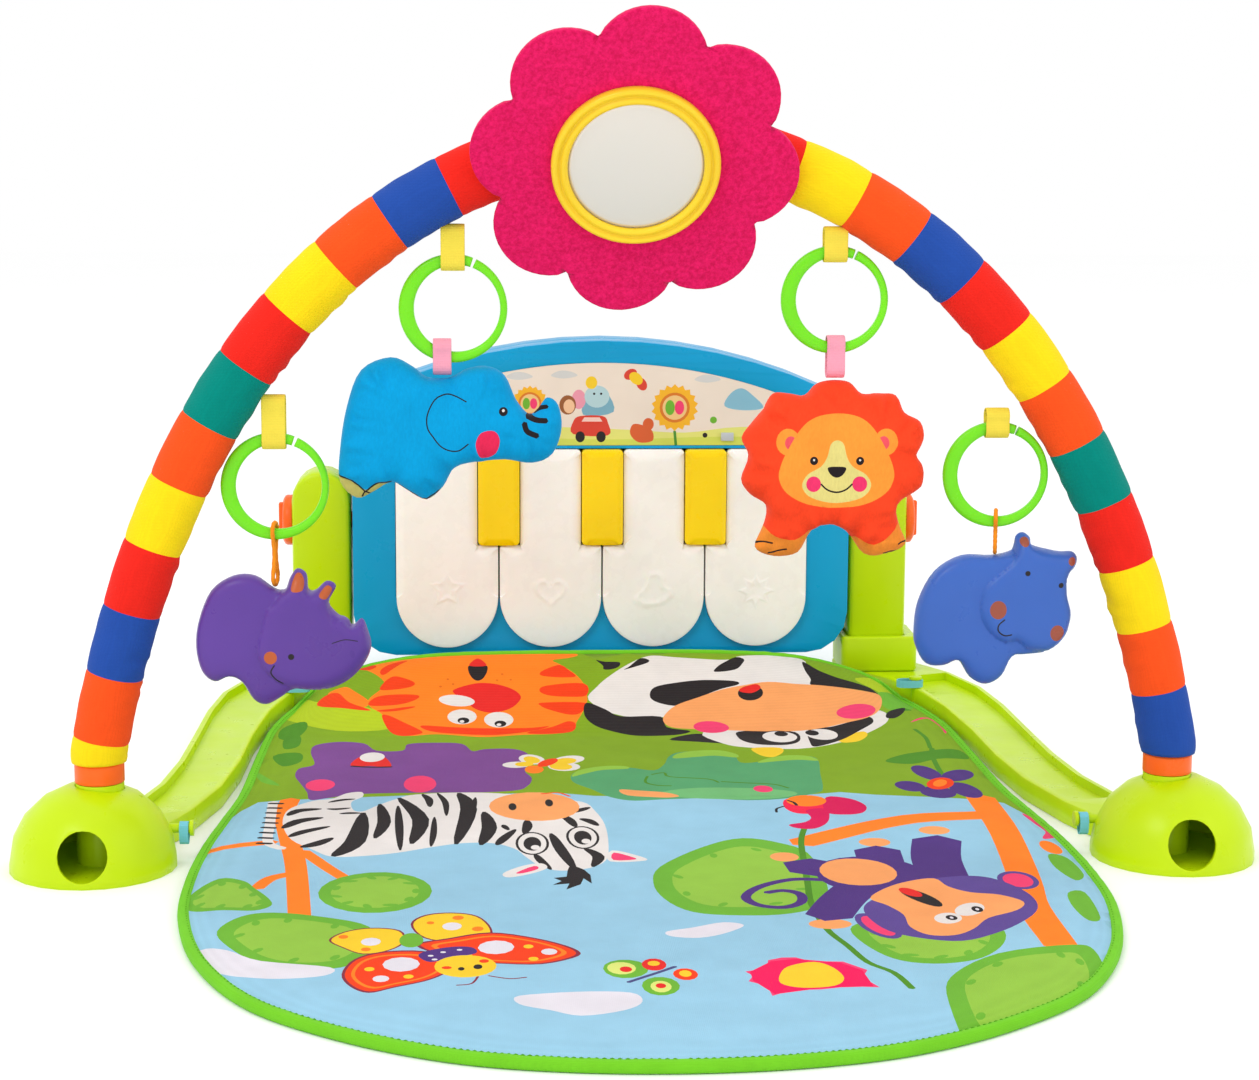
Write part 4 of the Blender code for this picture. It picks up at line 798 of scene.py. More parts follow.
def butterfly_art():
    """A large spotted butterfly and a small green one."""
    plum = srgb(132, 44, 64)
    wings = ((YELLOW, blob((-118, -238), (-125, -216), (-118, -201), (-104, -197), (-91, -204), (-84, -225),
        (-86, -240), (-102, -246))), (YELLOW, blob((-130, -226), (-145, -222), (-158, -228), (-165, -241),
        (-158, -253), (-147, -264), (-134, -258), (-127, -244))), (DEEP_ORANGE, blob((-122, -250), (-106, -239),
        (-85, -231), (-62, -242), (-44, -259), (-42, -272), (-60, -284), (-84, -281), (-102, -274))),
        (DEEP_ORANGE, blob((-118, -260), (-138, -260), (-151, -272), (-156, -295), (-151, -314), (-142, -323),
        (-130, -316), (-113, -305), (-104, -290), (-105, -272))))
    art = []
    for colour, wing in wings:
        art += [(plum, wing), (colour, scaled(wing, 0.94))]
        if colour is DEEP_ORANGE:
            art += [(ORANGE, scaled(wing, 0.82)), (DEEP_ORANGE, scaled(wing, 0.75))]
    for x, y, r, colour in ((-82, -255, 9, CLOUD), (-128, -281, 9, CLOUD), (-56, -264, 4, CLOUD),
            (-137, -303, 4, CLOUD), (-104, -220, 5, CLOUD), (-144, -244, 5, CLOUD), (-66, -255, 2.5, YELLOW),
            (-64, -275, 2.5, YELLOW), (-96, -268, 2.5, YELLOW), (-143, -288, 2.5, YELLOW),
            (-124, -300, 2.5, YELLOW), (-101, -206, 3, ORANGE), (-115, -214, 2, ORANGE), (-91, -225, 3, ORANGE),
            (-158, -236, 2.5, ORANGE), (-146, -256, 2.5, ORANGE)):
        art.append((colour, ellipse(x, y, r, r * 1.25, count=12)))
    art += [
        (LEAF, ellipse(-124, -242, 6, 12)),
        (PURPLE, blob((-120, -268), (-116, -260), (-104, -253), (-94, -254), (-92, -264), (-104, -271),
            (-114, -278)))]
    for x, y in ((-114, -268), (-108, -262), (-100, -258), (-112, -274)):
        art.append((CLOUD, ellipse(x, y, 1.5, count=8)))
    art += [
        (YELLOW, ellipse(-97, -285, 15, 18)), (BLACK, ellipse(-99, -289, 1.6, 3, count=10)),
        (BLACK, ellipse(-91, -286, 2.2, 4, count=12)), (DEEP_ORANGE, ellipse(-106, -287, 2.5, count=10)),
        (DEEP_ORANGE, ellipse(-88, -277, 2.5, 3, count=10)),
        (plum, stroke([(-91, -302), (-94, -312), (-101, -314)], 1.2)),
        (plum, stroke([(-86, -301), (-76, -306), (-68, -304)], 1.2))]
    for x, y, rx, ry, colour in ((-20, -293, 11, 15, LEAF), (-22, -292, 7, 10, srgb(216, 226, 120)),
            (-20, -294, 3, 4.5, RED), (-5, -320, 9, 13, LEAF), (-5, -321, 5, 8, srgb(216, 226, 120)),
            (-5, -320, 2.5, 3.5, RED), (-6, -287, 6, 10, RED), (-6, -285, 3, 4, YELLOW),
            (8, -303, 6, 9, DEEP_ORANGE), (8, -302, 3, 5, YELLOW)):
        art.append((colour, ellipse(x, y, rx, ry, count=14)))
    art.append((srgb(74, 76, 124), stroke([(-20, -314), (-8, -303), (4, -291)], 2.6)))
    return art


def flower_art():
    """A spiky pink flower and a red bird over the stem."""
    return [
        (PINK, [(50, -282), (57, -278), (64, -278), (71, -285), (86, -287), (96, -300), (92, -311), (98, -326),
            (85, -324), (70, -328), (56, -328), (46, -336), (45, -322), (37, -315), (40, -307), (37, -300),
            (48, -295)]),
        (srgb(240, 12, 88), scaled([(50, -282), (64, -278), (86, -287), (96, -300), (98, -326), (70, -328),
            (46, -336), (37, -315), (37, -300)], 0.92)),
        (YELLOW, blob((60, -291), (72, -286), (80, -296), (83, -312), (77, -323), (62, -325), (52, -318),
            (54, -302))),
        (srgb(240, 26, 72), blob((96, 26), (92, 6), (98, -8), (112, -8), (122, 4), (114, 22))),
        (srgb(214, 0, 84), blob((120, 27), (134, 22), (141, 6), (137, -9), (126, -13), (115, -6))),
        (srgb(214, 0, 84), blob((104, -2), (105, -18), (100, -28), (90, -34), (94, -42), (104, -43), (113, -30),
            (117, -8), (114, 2))),
        (ORANGE, ellipse(107, 20, 12, 13)), (BLACK, stroke([(86, -6), (87, 2), (92, 8)], 1.6)),
        (BLACK, stroke([(96, 22), (99, 17), (100, 10)], 2)),
        (PINK, stroke([(233, -8), (239, -30), (242, -48), (233, -66)], 9, True)),
        (ORANGE, ellipse(233, -84, 6, 14))]


def monkey_art():
    """A violet monkey that hangs across the stem by its arms."""
    head = srgb(92, 70, 144)
    art = [
        (PEACH, ellipse(79, -104, 8, 9)), (PEACH, ellipse(88, -226, 11, 8)), (PEACH, ellipse(172, -52, 9, 9)),
        (PEACH, ellipse(134, -74, 9, 9)),
        (PURPLE, stroke([(96, -148), (78, -146), (60, -157), (50, -176), (55, -192), (68, -196), (78, -187),
            (79, -173), (71, -166), (62, -169)], 5.5))]
    for points, width in ((((160, -160), (163, -110), (170, -72)), 28), (((128, -150), (131, -120), (133, -90)),
            26), (((122, -140), (100, -128), (86, -120)), 30), (((118, -150), (100, -185), (89, -213)), 25)):
        art.append((PURPLE, stroke(points, width)))
    art += [
        (PURPLE, ellipse(122, -138, 30, 36)), (PEACH, ellipse(116, -133, 21, 27)),
        (head, ellipse(200, -152, 11, 17)), (PINK, ellipse(200, -152, 8, 13)),
        (head, ellipse(112, -230, 9, 22, 15)), (PINK, ellipse(112, -230, 6, 17, 15)),
        (head, blob((160, -146), (180, -144), (192, -155), (201, -178), (200, -202), (188, -224), (170, -244),
            (150, -257), (130, -251), (116, -238), (109, -215), (110, -196), (120, -180), (134, -160))),
        (PEACH, blob((155, -148), (160, -163), (170, -174), (185, -178), (195, -190), (189, -204), (171, -218),
            (160, -236), (148, -247), (135, -246), (128, -232), (128, -212), (122, -196), (115, -183),
            (126, -165), (140, -153))),
        (BLACK, ellipse(142, -182, 6, 18, 25)), (RED, ellipse(138, -173, 4.5, 9, 25)),
        (WHITE, ellipse(164, -203, 7, 12, -30)), (WHITE, ellipse(150, -218, 7, 10, -20)),
        (BLACK, ellipse(168, -203, 3, 5)), (BLACK, ellipse(152, -217, 3, 4.5)),
        (CLOUD, ellipse(168, -203, 1, 2, count=8)), (CLOUD, ellipse(152, -217, 1, 2, count=8))]
    return art


def mat_art():
    return (field_art() + tiger_art() + cow_art() + tree_art() + meadow_art() + zebra_art() + butterfly_art()
            + flower_art() + monkey_art())


# ---------------------------------------------------------------- mat
MAT_HALF = ((0, -414.5), (55, -410), (105, -396), (155, -366), (200, -322), (230, -260), (245.5, -190),
            (249, -125), (247, -60), (242, -5), (236, 60), (234, 150), (231, 230), (220.5, 293), (209.2, 328),
            (202.5, 339), (188, 342.5), (165, 339.5), (125, 335), (70, 332.5))
BOW_START = 190.0                 # behind this line the mat bows up between the rails
BOW_END = 332.0
BOW_RISE = 33.3
BOW_MIDDLE = -3.0
BOW_HALF = 214.0
PRINT_EYE = Vector((-91.3, -1493.7, 408.4))   # the level print is cast on the bow from here
PRINT_LEVEL = 9.0


MAT_UNDER = 0.4                   # underside of the pad, above the floor
MAT_EDGE = 4.6                    # its printed face at the binding, and how far that rises inside
MAT_CROWN = 3.6
TAPE_HALF_WIDTH = 3.2
TAPE_HALF_HEIGHT = 3.0
TAPE_MIDDLE = 3.1
STITCH_HEIGHT = 6.0
STITCH_HALF_LENGTH = 1.1
STITCH_HALF_WIDTH = 0.3
STITCH_CROWN = 0.45


def mat_lift(x, y):
    """Height of the bow: nothing at the sides, most in the middle of the rear edge."""
    along = min(max((y - BOW_START) / (BOW_END - BOW_START), 0.0), 1.0)
    across = max(1.0 - (abs(x - BOW_MIDDLE) / BOW_HALF) ** 4, 0.0)
    return BOW_RISE * along ** 1.3 * across


def onto_bow(point):
    """Where a point of the print, drawn as if the mat were level, lies on the bow."""
    if point[1] <= BOW_START:
        return point
    level = Vector((point[0], point[1], PRINT_LEVEL))
    low, high = 0.8, 1.0
    for _ in range(24):
        share = (low + high) / 2
        place = PRINT_EYE.lerp(level, share)
        if place.z > PRINT_LEVEL + mat_lift(place.x, place.y):
            low = share
        else:
            high = share
    return place.x, place.y


def mat_outline(inset, steps):
    half = list(MAT_HALF)
    loop = smooth(half + [(-x, y) for x, y in reversed(half) if x > 0], True, steps)
    result = []
    for i, p in enumerate(loop):
        along = (Vector(loop[(i + 1) % len(loop)]) - Vector(loop[i - 1])).normalized()
        result.append((p[0] - along.y * inset, p[1] + along.x * inset))
    return result


def make_mat():
    """Thin quilted pad: a printed face with soft rises, and a plain underside."""
    outline = anticlockwise(mat_outline(4.5, 5))
    art = [(colour, [onto_bow(p) for p in loop]) for colour, loop in mat_art()]
    flat, triangles, printed, _ = cut_print(outline, art, 7.5, (2.0, 6.0, 12.0))
    palette = [SKY] + [colour for colour, _ in art]
    gaps, _ = nearest_on(outline, np.array(flat))
    verts = []
    for (x, y), gap in zip(flat, gaps):
        swell = noise.noise((x / 70, y / 70, 0.0)) * 0.9 + noise.noise((x / 26, y / 26, 4.0)) * 0.28
        edge = 1 - math.exp(-gap / 11)
        verts.append((x, y, MAT_EDGE + (MAT_CROWN + swell) * edge + mat_lift(x, y)))
    colours = [palette[c] for c in printed]
    count = len(verts)
    verts += [(x, y, MAT_UNDER + mat_lift(x, y)) for x, y in flat]
    faces = list(triangles)
    for a, b, c in triangles:
        faces.append((c + count, b + count, a + count))
        colours.append(SKY)
    for a, b in open_edges(triangles):
        faces.append((b, a, a + count, b + count))
        colours.append(SKY)
    pad = make_object("mat", [Vector(v) * MM for v in verts], faces, PRINTED_CLOTH, colours)
    settle(pad, "frame", "mat_fabric", "mat_pad")


def make_binding():
    """Folded lime tape sewn round the mat's edge."""
    path = [Vector((x, y, mat_lift(x, y))) * MM for x, y in mat_outline(3.3, 12)]

    def section(i):
        puff = 0.35 * noise.noise((path[i].x * 160, path[i].y * 160, 2.0))
        return [(a, b * (TAPE_HALF_HEIGHT + puff * (b > 0)) + TAPE_MIDDLE * MM)
                for a, b in squared(14, TAPE_HALF_WIDTH, 1.0, 0.6, 0.7)]
    tape = sweep("binding", path, section, Z_AXIS, LIME_CLOTH, True)
    settle(tape, "frame", "binding_fabric", "mat_binding")
    seam = [Vector((x, y, STITCH_HEIGHT + mat_lift(x, y))) * MM for x, y in mat_outline(4.6, 16)]
    verts = []
    faces = []
    for start, end in zip(seam, seam[1:]):
        middle = (start + end) / 2
        along = (end - start).normalized() * STITCH_HALF_LENGTH * MM
        across = Vector((-along.y, along.x, 0)).normalized() * STITCH_HALF_WIDTH * MM
        base = len(verts)
        for end, lift, share in ((-1, 0.0, 0.6), (0, STITCH_CROWN, 1.0), (1, 0.0, 0.6)):
            for side in (-1, 1):
                verts.append(middle + along * end + across * side * share + Vector((0, 0, lift * MM)))
        faces += [(base, base + 1, base + 3, base + 2), (base + 2, base + 3, base + 5, base + 4),
                  (base, base + 2, base + 4), (base + 1, base + 5, base + 3),
                  (base, base + 4, base + 5, base + 1)]
    stitches = make_object("binding_stitches", verts, faces, THREAD)
    settle(stitches, "frame", "binding_fabric")


# ---------------------------------------------------------------- arch
ARCH_FOOT = (-0.2995, 0.0605)
ARCH_FOOT_ANGLE = math.radians(11)
ARCH_CROWN_SHARE = 0.655
ARCH_UPRIGHT = 0.0050
COVER_RADIUS = 15.5
BAND_RED = srgb(236, 40, 30)
BAND_ORANGE = srgb(250, 84, 30)
BAND_YELLOW = srgb(252, 218, 24)
BAND_BLUE = srgb(38, 78, 164)
BAND_TEAL = srgb(0, 134, 122)
BAND_LENGTH = 0.0373
LEFT_BANDS = (BAND_YELLOW, BAND_ORANGE, BAND_BLUE, BAND_RED, BAND_YELLOW, BAND_ORANGE, BAND_TEAL, BAND_RED,
              BAND_YELLOW, BAND_ORANGE, BAND_BLUE, BAND_RED, BAND_YELLOW)
RIGHT_BANDS = (BAND_BLUE, BAND_ORANGE, BAND_YELLOW, BAND_RED, BAND_TEAL, BAND_ORANGE, BAND_YELLOW, BAND_RED,
               BAND_BLUE, BAND_ORANGE, BAND_YELLOW, BAND_RED, BAND_TEAL)
LEFT_FIRST = 0.0125               # the left leg starts with a short band
COVER_STEP = 0.0017               # length of one row of faces
SEAM_PINCH = 0.4
SEAM_WIDTH = 0.0014
BAND_SWELL = 0.3
COVER_SLACK = 3.4                 # loose cloth gathered on the inner side
CREASE_PITCH = 0.0026


def arch_path():
    """Centre line of the cover: upright on each foot, most of its bend near the crown."""
    count = 420
    span = math.pi / 2 - ARCH_FOOT_ANGLE
    half = [(0.0, 0.0)]
    x = z = 0.0
    for i in range(count):
        u = (i + 0.5) / count
        lean = ARCH_FOOT_ANGLE + span * u * (1 - ARCH_CROWN_SHARE * (1 - u))
        x += math.sin(lean) / count
        z += math.cos(lean) / count
        half.append((x, z))
    scale = -ARCH_FOOT[0] / x
    foot_x, foot_z = ARCH_FOOT
    left = [Vector((foot_x, ARCH_Y, foot_z + ARCH_UPRIGHT * k / 4)) for k in range(4)]
    left += [Vector((foot_x + x * scale, ARCH_Y, foot_z + ARCH_UPRIGHT + z * scale)) for x, z in half]
    return left + [Vector((-p.x, p.y, p.z)) for p in reversed(left[:-1])]


def at_lengths(path, stops):
    """Points along a path at the given distances from its start."""
    lengths = [0.0]
    for a, b in zip(path, path[1:]):
        lengths.append(lengths[-1] + (b - a).length)
    result = []
    k = 0
    for stop in stops:
        while k < len(path) - 2 and lengths[k + 1] < stop:
            k += 1
        share = (stop - lengths[k]) / max(lengths[k + 1] - lengths[k], 1e-9)
        result.append(path[k].lerp(path[k + 1], min(max(share, 0.0), 1.0)))
    return result


def path_length(path):
    return sum((b - a).length for a, b in zip(path, path[1:]))


def make_cover():
    """Banded sleeve over the rods: seams that pinch, and creases on its inner side."""
    path = arch_path()
    total = path_length(path)
    seams = [LEFT_FIRST + BAND_LENGTH * k for k in range(12)]
    seams += [total - BAND_LENGTH * k for k in range(1, 13)]
    seams = sorted(s for s in seams if 0 < s < total)
    stops = []
    edges = [0.0] + seams + [total]
    for low, high in zip(edges, edges[1:]):
        count = max(int((high - low) / COVER_STEP), 2)
        stops += [low + (high - low) * k / count for k in range(count)]
    stops.append(total)
    points = at_lengths(path, stops)
    crown = len(LEFT_BANDS) - 1

    def tone(at):
        if at < total / 2:
            k = 0 if at < LEFT_FIRST else 1 + int((at - LEFT_FIRST) / BAND_LENGTH + 1e-6)
            return LEFT_BANDS[min(k, crown)]
        return RIGHT_BANDS[min(int((total - at) / BAND_LENGTH - 1e-6), crown)]
    colours = [tone((a + b) / 2) for a, b in zip(stops, stops[1:])]

    def section(i):
        at = stops[i]
        seam = min(abs(at - s) for s in edges)
        pinch = SEAM_PINCH * math.exp(-(seam / SEAM_WIDTH) ** 2)
        lift = BAND_SWELL * math.sin(math.pi * min(seam / (BAND_LENGTH / 2), 1.0) / 2)
        slack = COVER_SLACK * math.sin(math.pi * min(max((at / total - 0.06) / 0.88, 0.0), 1.0)) ** 0.6
        loop = []
        for k in range(36):
            angle = 2 * math.pi * k / 36
            inner = max(math.cos(angle), 0.0) ** 1.5
            drift = 2.5 * noise.noise((at * 40, math.cos(angle), math.sin(angle)))
            creased = max(noise.noise((at * 55, angle * 0.8, 7.0)) + 0.25, 0.0)
            fold = 0.9 * math.sin(at / CREASE_PITCH + drift * 2.2) * creased
            loose = 0.35 * noise.noise((at * 90, 2 * math.cos(angle), 2 * math.sin(angle)))
            radius = COVER_RADIUS - pinch + lift + loose + inner * (slack + fold)
            loop.append((radius * math.cos(angle) * MM, radius * math.sin(angle) * MM))
        return loop
    cover = sweep("arch_sleeve", points, section, Y_AXIS, PRINTED_SLEEVE, False, colours)
    settle(cover, "arch", "cover_fabric", "arch_cover")


# ---------------------------------------------------------------- hangers
RINGS = {"upper_left": (-103.0, 310.5), "upper_right": (105.0, 315.5), "lower_left": (-200.5, 213.5),
         "lower_right": (196.5, 219.0)}
TAB_HEIGHTS = {"upper_left": 25.5, "upper_right": 19.7, "lower_left": 30.2, "lower_right": 17.0}
RING_RADIUS = 29.5
RING_BAR = 6.2
RING_SHIFT = 2.2
RING_DEPTH = 5.6
RING_SLIT = 0.030                 # half of the slit's angle, in radians
STRING_BEND = 4.8                 # bend of a string loop over its ring
STRING_NIP = 3.2                  # how far its two runs draw together


def make_ring(label, x, z):
    """Snap link, thicker on one side, with the slit where it opens."""
    count = 96
    start = math.pi / 2 - 0.42 + RING_SLIT
    angles = [start + (2 * math.pi - 2 * RING_SLIT) * i / count for i in range(count + 1)]
    path = []
    widths = []
    for angle in angles:
        thick = RING_BAR - RING_SHIFT * math.cos(angle)
        widths.append(thick)
        reach = RING_RADIUS - thick / 2
        path.append(Vector((x + reach * math.cos(angle), ARCH_Y / MM, z + reach * math.sin(angle))) * MM)

    def section(i):
        return squared(16, widths[i] / 2, RING_DEPTH / 2, 0.75, 0.75)
    ring = sweep("link_" + label, path, section, Y_AXIS, GREEN_PLASTIC)
    settle(ring, "link_" + label, "green_plastic", "ring_" + label)


def make_tape(name, x, z, width, height, breadth, material, thickness=0.9):
    """A stitched loop of tape that stands upright, its breadth along X."""
    radius = width / 2 - thickness / 2
    reach = height / 2 - width / 2
    path = []
    for side in (1, -1):
        for k in range(13):
            angle = math.pi * k / 12
            path.append((side * radius * math.cos(angle), side * (reach + radius * math.sin(angle))))
        for k in range(1, 8):
            pull = math.sin(math.pi * k / 8) * 0.6
            path.append((side * (pull - radius), side * (reach - 2 * reach * k / 8)))
    points = [Vector((x, ARCH_Y / MM + y, z + h)) * MM for y, h in path]

    def section(i):
        return [(a, b) for b, a in squared(16, breadth / 2, thickness / 2, 0.25, 0.6)]
    return sweep(name, points, section, X_AXIS, material, True)


def make_string(name, x, top, bottom):
    """Two-ply twisted string round a ring, both ends in the toy."""
    path = []
    centre = (top + bottom) / 2
    reach = (top - bottom) / 2 - STRING_BEND
    for side, first, runs in ((1, 0, 29), (-1, 1, 28)):
        for k in range(first, 25):
            angle = math.pi * k / 24
            path.append((side * STRING_BEND * math.cos(angle), side * (reach + STRING_BEND * math.sin(angle))))
        for k in range(1, runs):
            nip = STRING_NIP * math.sin(math.pi * k / 28) ** 1.4
            path.append((side * (nip - STRING_BEND), side * (reach - 2 * reach * k / 28)))
    points = [Vector((x + 0.2 * y, ARCH_Y / MM + y, centre + h)) * MM for y, h in path]

    def section(i):
        loop = []
        turn = i * 0.55
        for k in range(14):
            a = 2 * math.pi * k / 14
            r = 1.0 + 0.22 * abs(math.cos(a + turn))
            loop.append((r * math.cos(a) * MM, r * math.sin(a) * MM))
        return loop
    return sweep(name, points, section, X_AXIS, ORANGE_STRING, True)


def make_hangers():
    reach = RING_RADIUS - RING_BAR / 2
    for label, (x, z) in RINGS.items():
        make_ring(label, x, z)
        height = TAB_HEIGHTS[label]
        middle = z + reach + height / 2 - RING_BAR
        tape = make_tape("tab_" + label, x, middle, 10.0, height, 13.0, YELLOW_TAPE)
        settle(tape, "arch", "yellow_tape", "loop_" + label)
    low = {label: z - reach for label, (x, z) in RINGS.items()}
    for number, toy, x, z, height in ((1, "elephant", -109.0, low["upper_left"] + 0.2, 20.0),
                                      (2, "lion", 106.0, low["upper_right"] - 4.7, 23.5)):
        strap = make_tape(f"strap_{number}", x, z, 10.0, height, 10.0, PINK_TAPE)
        settle(strap, "toy_" + toy, "pink_ribbon", "strap_" + toy)
    for number, toy, x, top, bottom in ((1, "rhino", -201.0, low["lower_left"] + 6.2, 159.0),
                                        (2, "hippo", 197.5, low["lower_right"] + 6.2, 175.2)):
        cord = make_string(f"string_{number}", x, top, bottom)
        settle(cord, "toy_" + toy, "orange_string", "string_" + toy)


# ---------------------------------------------------------------- toys
ELEPHANT = ((-60, -29), (-60, -12), (-56, 12), (-48, 32), (-32, 39), (-20, 34), (-12, 28), (0, 28), (10, 33),
            (21, 34), (30, 29), (36, 16), (43, 8), (48, 11), (53, 17), (59, 13), (61, 0), (56, -14),
            (45, -19), (30, -17), (17, -18), (3, -21), (-4, -32), (-13, -39), (-23, -34), (-32, -29),
            (-41, -34), (-51, -38))
LION = ((-2, 48), (8, 47), (15, 41), (25, 41), (34, 40), (39, 31), (48, 26), (50, 17), (46, 9), (50, 2),
        (49, -8), (40, -14), (35, -19), (38, -30), (41, -39), (30, -44), (18, -44), (8, -32), (-2, -28),
        (-12, -31), (-19, -43), (-33, -45), (-43, -40), (-38, -28), (-37, -18), (-46, -12), (-51, -4),
        (-47, 8), (-51, 18), (-44, 27), (-39, 33), (-34, 41), (-25, 41), (-16, 40), (-10, 46))
RHINO = ((-48, -5), (-46, 10), (-39, 26), (-27, 34), (-15, 34), (-5, 27), (1, 26), (4, 33), (8, 38), (13, 35),
         (14, 26), (18, 26), (24, 31), (29, 28), (25, 19), (30, 12), (33, 11), (36, 9), (38, 6), (43, 10),
         (46, 4), (48, -6), (43, -17), (33, -26), (20, -30), (6, -29), (-2, -34), (-10, -38), (-17, -35),
         (-23, -25), (-30, -22), (-38, -25), (-45, -19))
HIPPO = ((-46, -7), (-44, 9), (-35, 26), (-20, 35), (-3, 35), (8, 38), (10, 46), (14, 48), (18, 45), (19, 41),
         (30, 38), (36, 37), (42, 37), (45, 33), (43, 27), (40, 25), (39, 14), (42, 2), (39, -10), (30, -19),
         (16, -21), (9, -22), (4, -33), (-5, -38), (-14, -34), (-21, -24), (-29, -27), (-39, -26), (-45, -16))


def placed(loop, x, z, stretch=1.0):
    return [(x + a, z + b * stretch) for a, b in loop]


def stitched(amount, reach, pitch):
    """Puckers that run in from a sewn edge."""
    def scale(points, gaps, nearest):
        result = np.ones(len(points))
        for i, (gap, (x, y)) in enumerate(zip(gaps, nearest)):
            u, v = x / pitch, y / pitch
            fold = noise.noise((u, v, 3.0)) + 0.5 * noise.noise((u * 2.1, v * 2.1, 9.0))
            soft = noise.noise((points[i][0] / 22, points[i][1] / 22, 5.0))
            result[i] = (1 + amount * fold * math.exp(-gap / reach)) * (1 + 0.07 * soft)
        return result
    return scale


def ink(points, width=0.9):
    return BLACK, stroke(points, width, steps=5)


def make_plush(animal, outline, art, plain, slot, x, z, stretch=1.0, back_art=0):
    """A stuffed toy, its printed face towards the mat's front; some art shows behind too."""
    art = [(colour, placed(loop, x, z, stretch)) for colour, loop in art]
    outline = placed(smooth(outline, True, 4), x, z, stretch)
    toy = pillow(animal + "_plush", outline, art, PLUSH, plain, 16.0, 16.0, STANDING, 1.9,
                 crease=stitched(0.75, 7.5, 6.0), back_art=back_art)
    settle(toy, "toy_" + animal, slot, animal)


def make_teether(animal, outline, head, art, plain, slot, x, z):
    """A moulded toy with painted marks and a head that stands proud of the body."""
    art = [(colour, placed(loop, x, z)) for colour, loop in art]
    outline = placed(smooth(outline, True, 4), x, z)
    toy = pillow(animal + "_teether", outline, art, PRINTED_PLASTIC, plain, 9.0, 9.0, STANDING, 1.7,
                 (0.25, 0.8, 1.6, 2.8), [(placed(head, x, z), 3.0)])
    settle(toy, "toy_" + animal, slot, animal)


def make_elephant():
    sole = srgb(196, 186, 104)
    art = [
        (sole, [(-62, -25), (-54, -28), (-46, -33), (-45, -42), (-64, -42)]),
        (sole, [(-46, -33), (-40, -29), (-33, -29), (-34, -42), (-46, -42)]),
        (sole, [(-27, -31), (-20, -36), (-13, -39), (-6, -35), (-2, -31), (-4, -44), (-26, -44)]),
        ink([(-61, -25), (-53, -28), (-46, -34)]), ink([(-46, -34), (-40, -29), (-32, -28)]),
        ink([(-48, -37), (-46, -34), (-42, -37)]), ink([(-28, -30), (-20, -35), (-14, -40)]),
        ink([(-14, -39), (-8, -35), (-2, -31)]), ink([(-17, -41), (-14, -38), (-11, -41)]),
        ink([(9, 16), (4, 18.5), (-2, 20), (-8, 17), (-12, 9), (-12, 2), (-9, -3), (-5, -8), (0, -10.5),
            (5, -10.5), (10, -7)], 0.7),
        (srgb(232, 42, 86), blob((16, -14), (14, -7), (17, -1), (24, 0), (27, -5), (25, -12), (20, -15))),
        (BLACK, ellipse(29, 10.5, 2.4)), (WHITE, ellipse(29, 11, 0.8, count=10)),
        (BLACK, stroke([(45.5, 9.5), (49, 11.5), (53, 12.4)], 2.2, steps=5)),
        (BLACK, stroke([(42, 7.7), (47, 5.5), (52.5, 5)], 2.8, steps=5)),
        (BLACK, stroke([(40.4, 4), (42, -0.4), (47.5, -3)], 3.0, steps=5))]
    make_plush("elephant", ELEPHANT, art, srgb(0, 154, 212), "blue_plush", -105.0, 245.0)


def make_lion():
    face = srgb(250, 152, 56)
    cream = srgb(226, 212, 128)
    paw = srgb(240, 140, 50)
    art = [
        (paw, blob((-46, -48), (-47, -30), (-42, -26), (-33, -33), (-22, -35), (-12, -30), (-6, -40),
            (-20, -50))),
        (paw, blob((46, -48), (47, -24), (40, -18), (34, -30), (22, -38), (12, -34), (8, -40), (20, -50))),
        ink([(-44, -38), (-39, -36.5), (-34, -37)]), ink([(-36, -43), (-31, -41), (-26, -40.5)]),
        ink([(36, -38), (40, -37), (45, -38)]), ink([(28, -43), (33, -42), (38, -42.5)]),
        (face, ellipse(-27, 17, 6.5, 7)), (face, ellipse(27, 17, 6.5, 7)),
        (srgb(238, 84, 96), ellipse(-25.5, 16.5, 3.2, 3.6)), (srgb(238, 84, 96), ellipse(25.5, 16.5, 3.2, 3.6)),
        (face, blob((0, 32), (12, 30), (20, 24), (27, 13), (31, 4), (31.5, -3), (27, -10), (16, -15.5),
            (0, -17.5), (-16, -15.5), (-27, -10), (-31.5, -3), (-31, 4), (-27, 13), (-20, 24), (-12, 30))),
        (cream, blob((0, 18), (3.5, 16), (5.5, 9), (9, 4), (16, 0), (19, -6), (14, -12), (0, -15), (-14, -12),
            (-19, -6), (-16, 0), (-9, 4), (-5.5, 9), (-3.5, 16))),
        (srgb(238, 54, 108), ellipse(-12.7, -5, 4.1)), (srgb(238, 54, 108), ellipse(12.7, -5, 4.1)),
        (BLACK, blob((-5, 3.6), (0, 4.2), (5, 3.6), (3.4, 0), (0, -1.6), (-3.4, 0))),
        ink([(-8.6, -5), (-5, -8), (0, -9.3), (5, -8), (8.6, -5)], 0.9), (BLACK, ellipse(-12.6, 7.2, 2.2)),
        (BLACK, ellipse(12.6, 7.2, 2.2)), (WHITE, ellipse(-12.6, 7.6, 0.6, count=10)),
        (WHITE, ellipse(12.6, 7.6, 0.6, count=10))]
    make_plush("lion", LION, art, srgb(250, 70, 34), "red_plush", 106.0, 221.0, 1.05, 2)


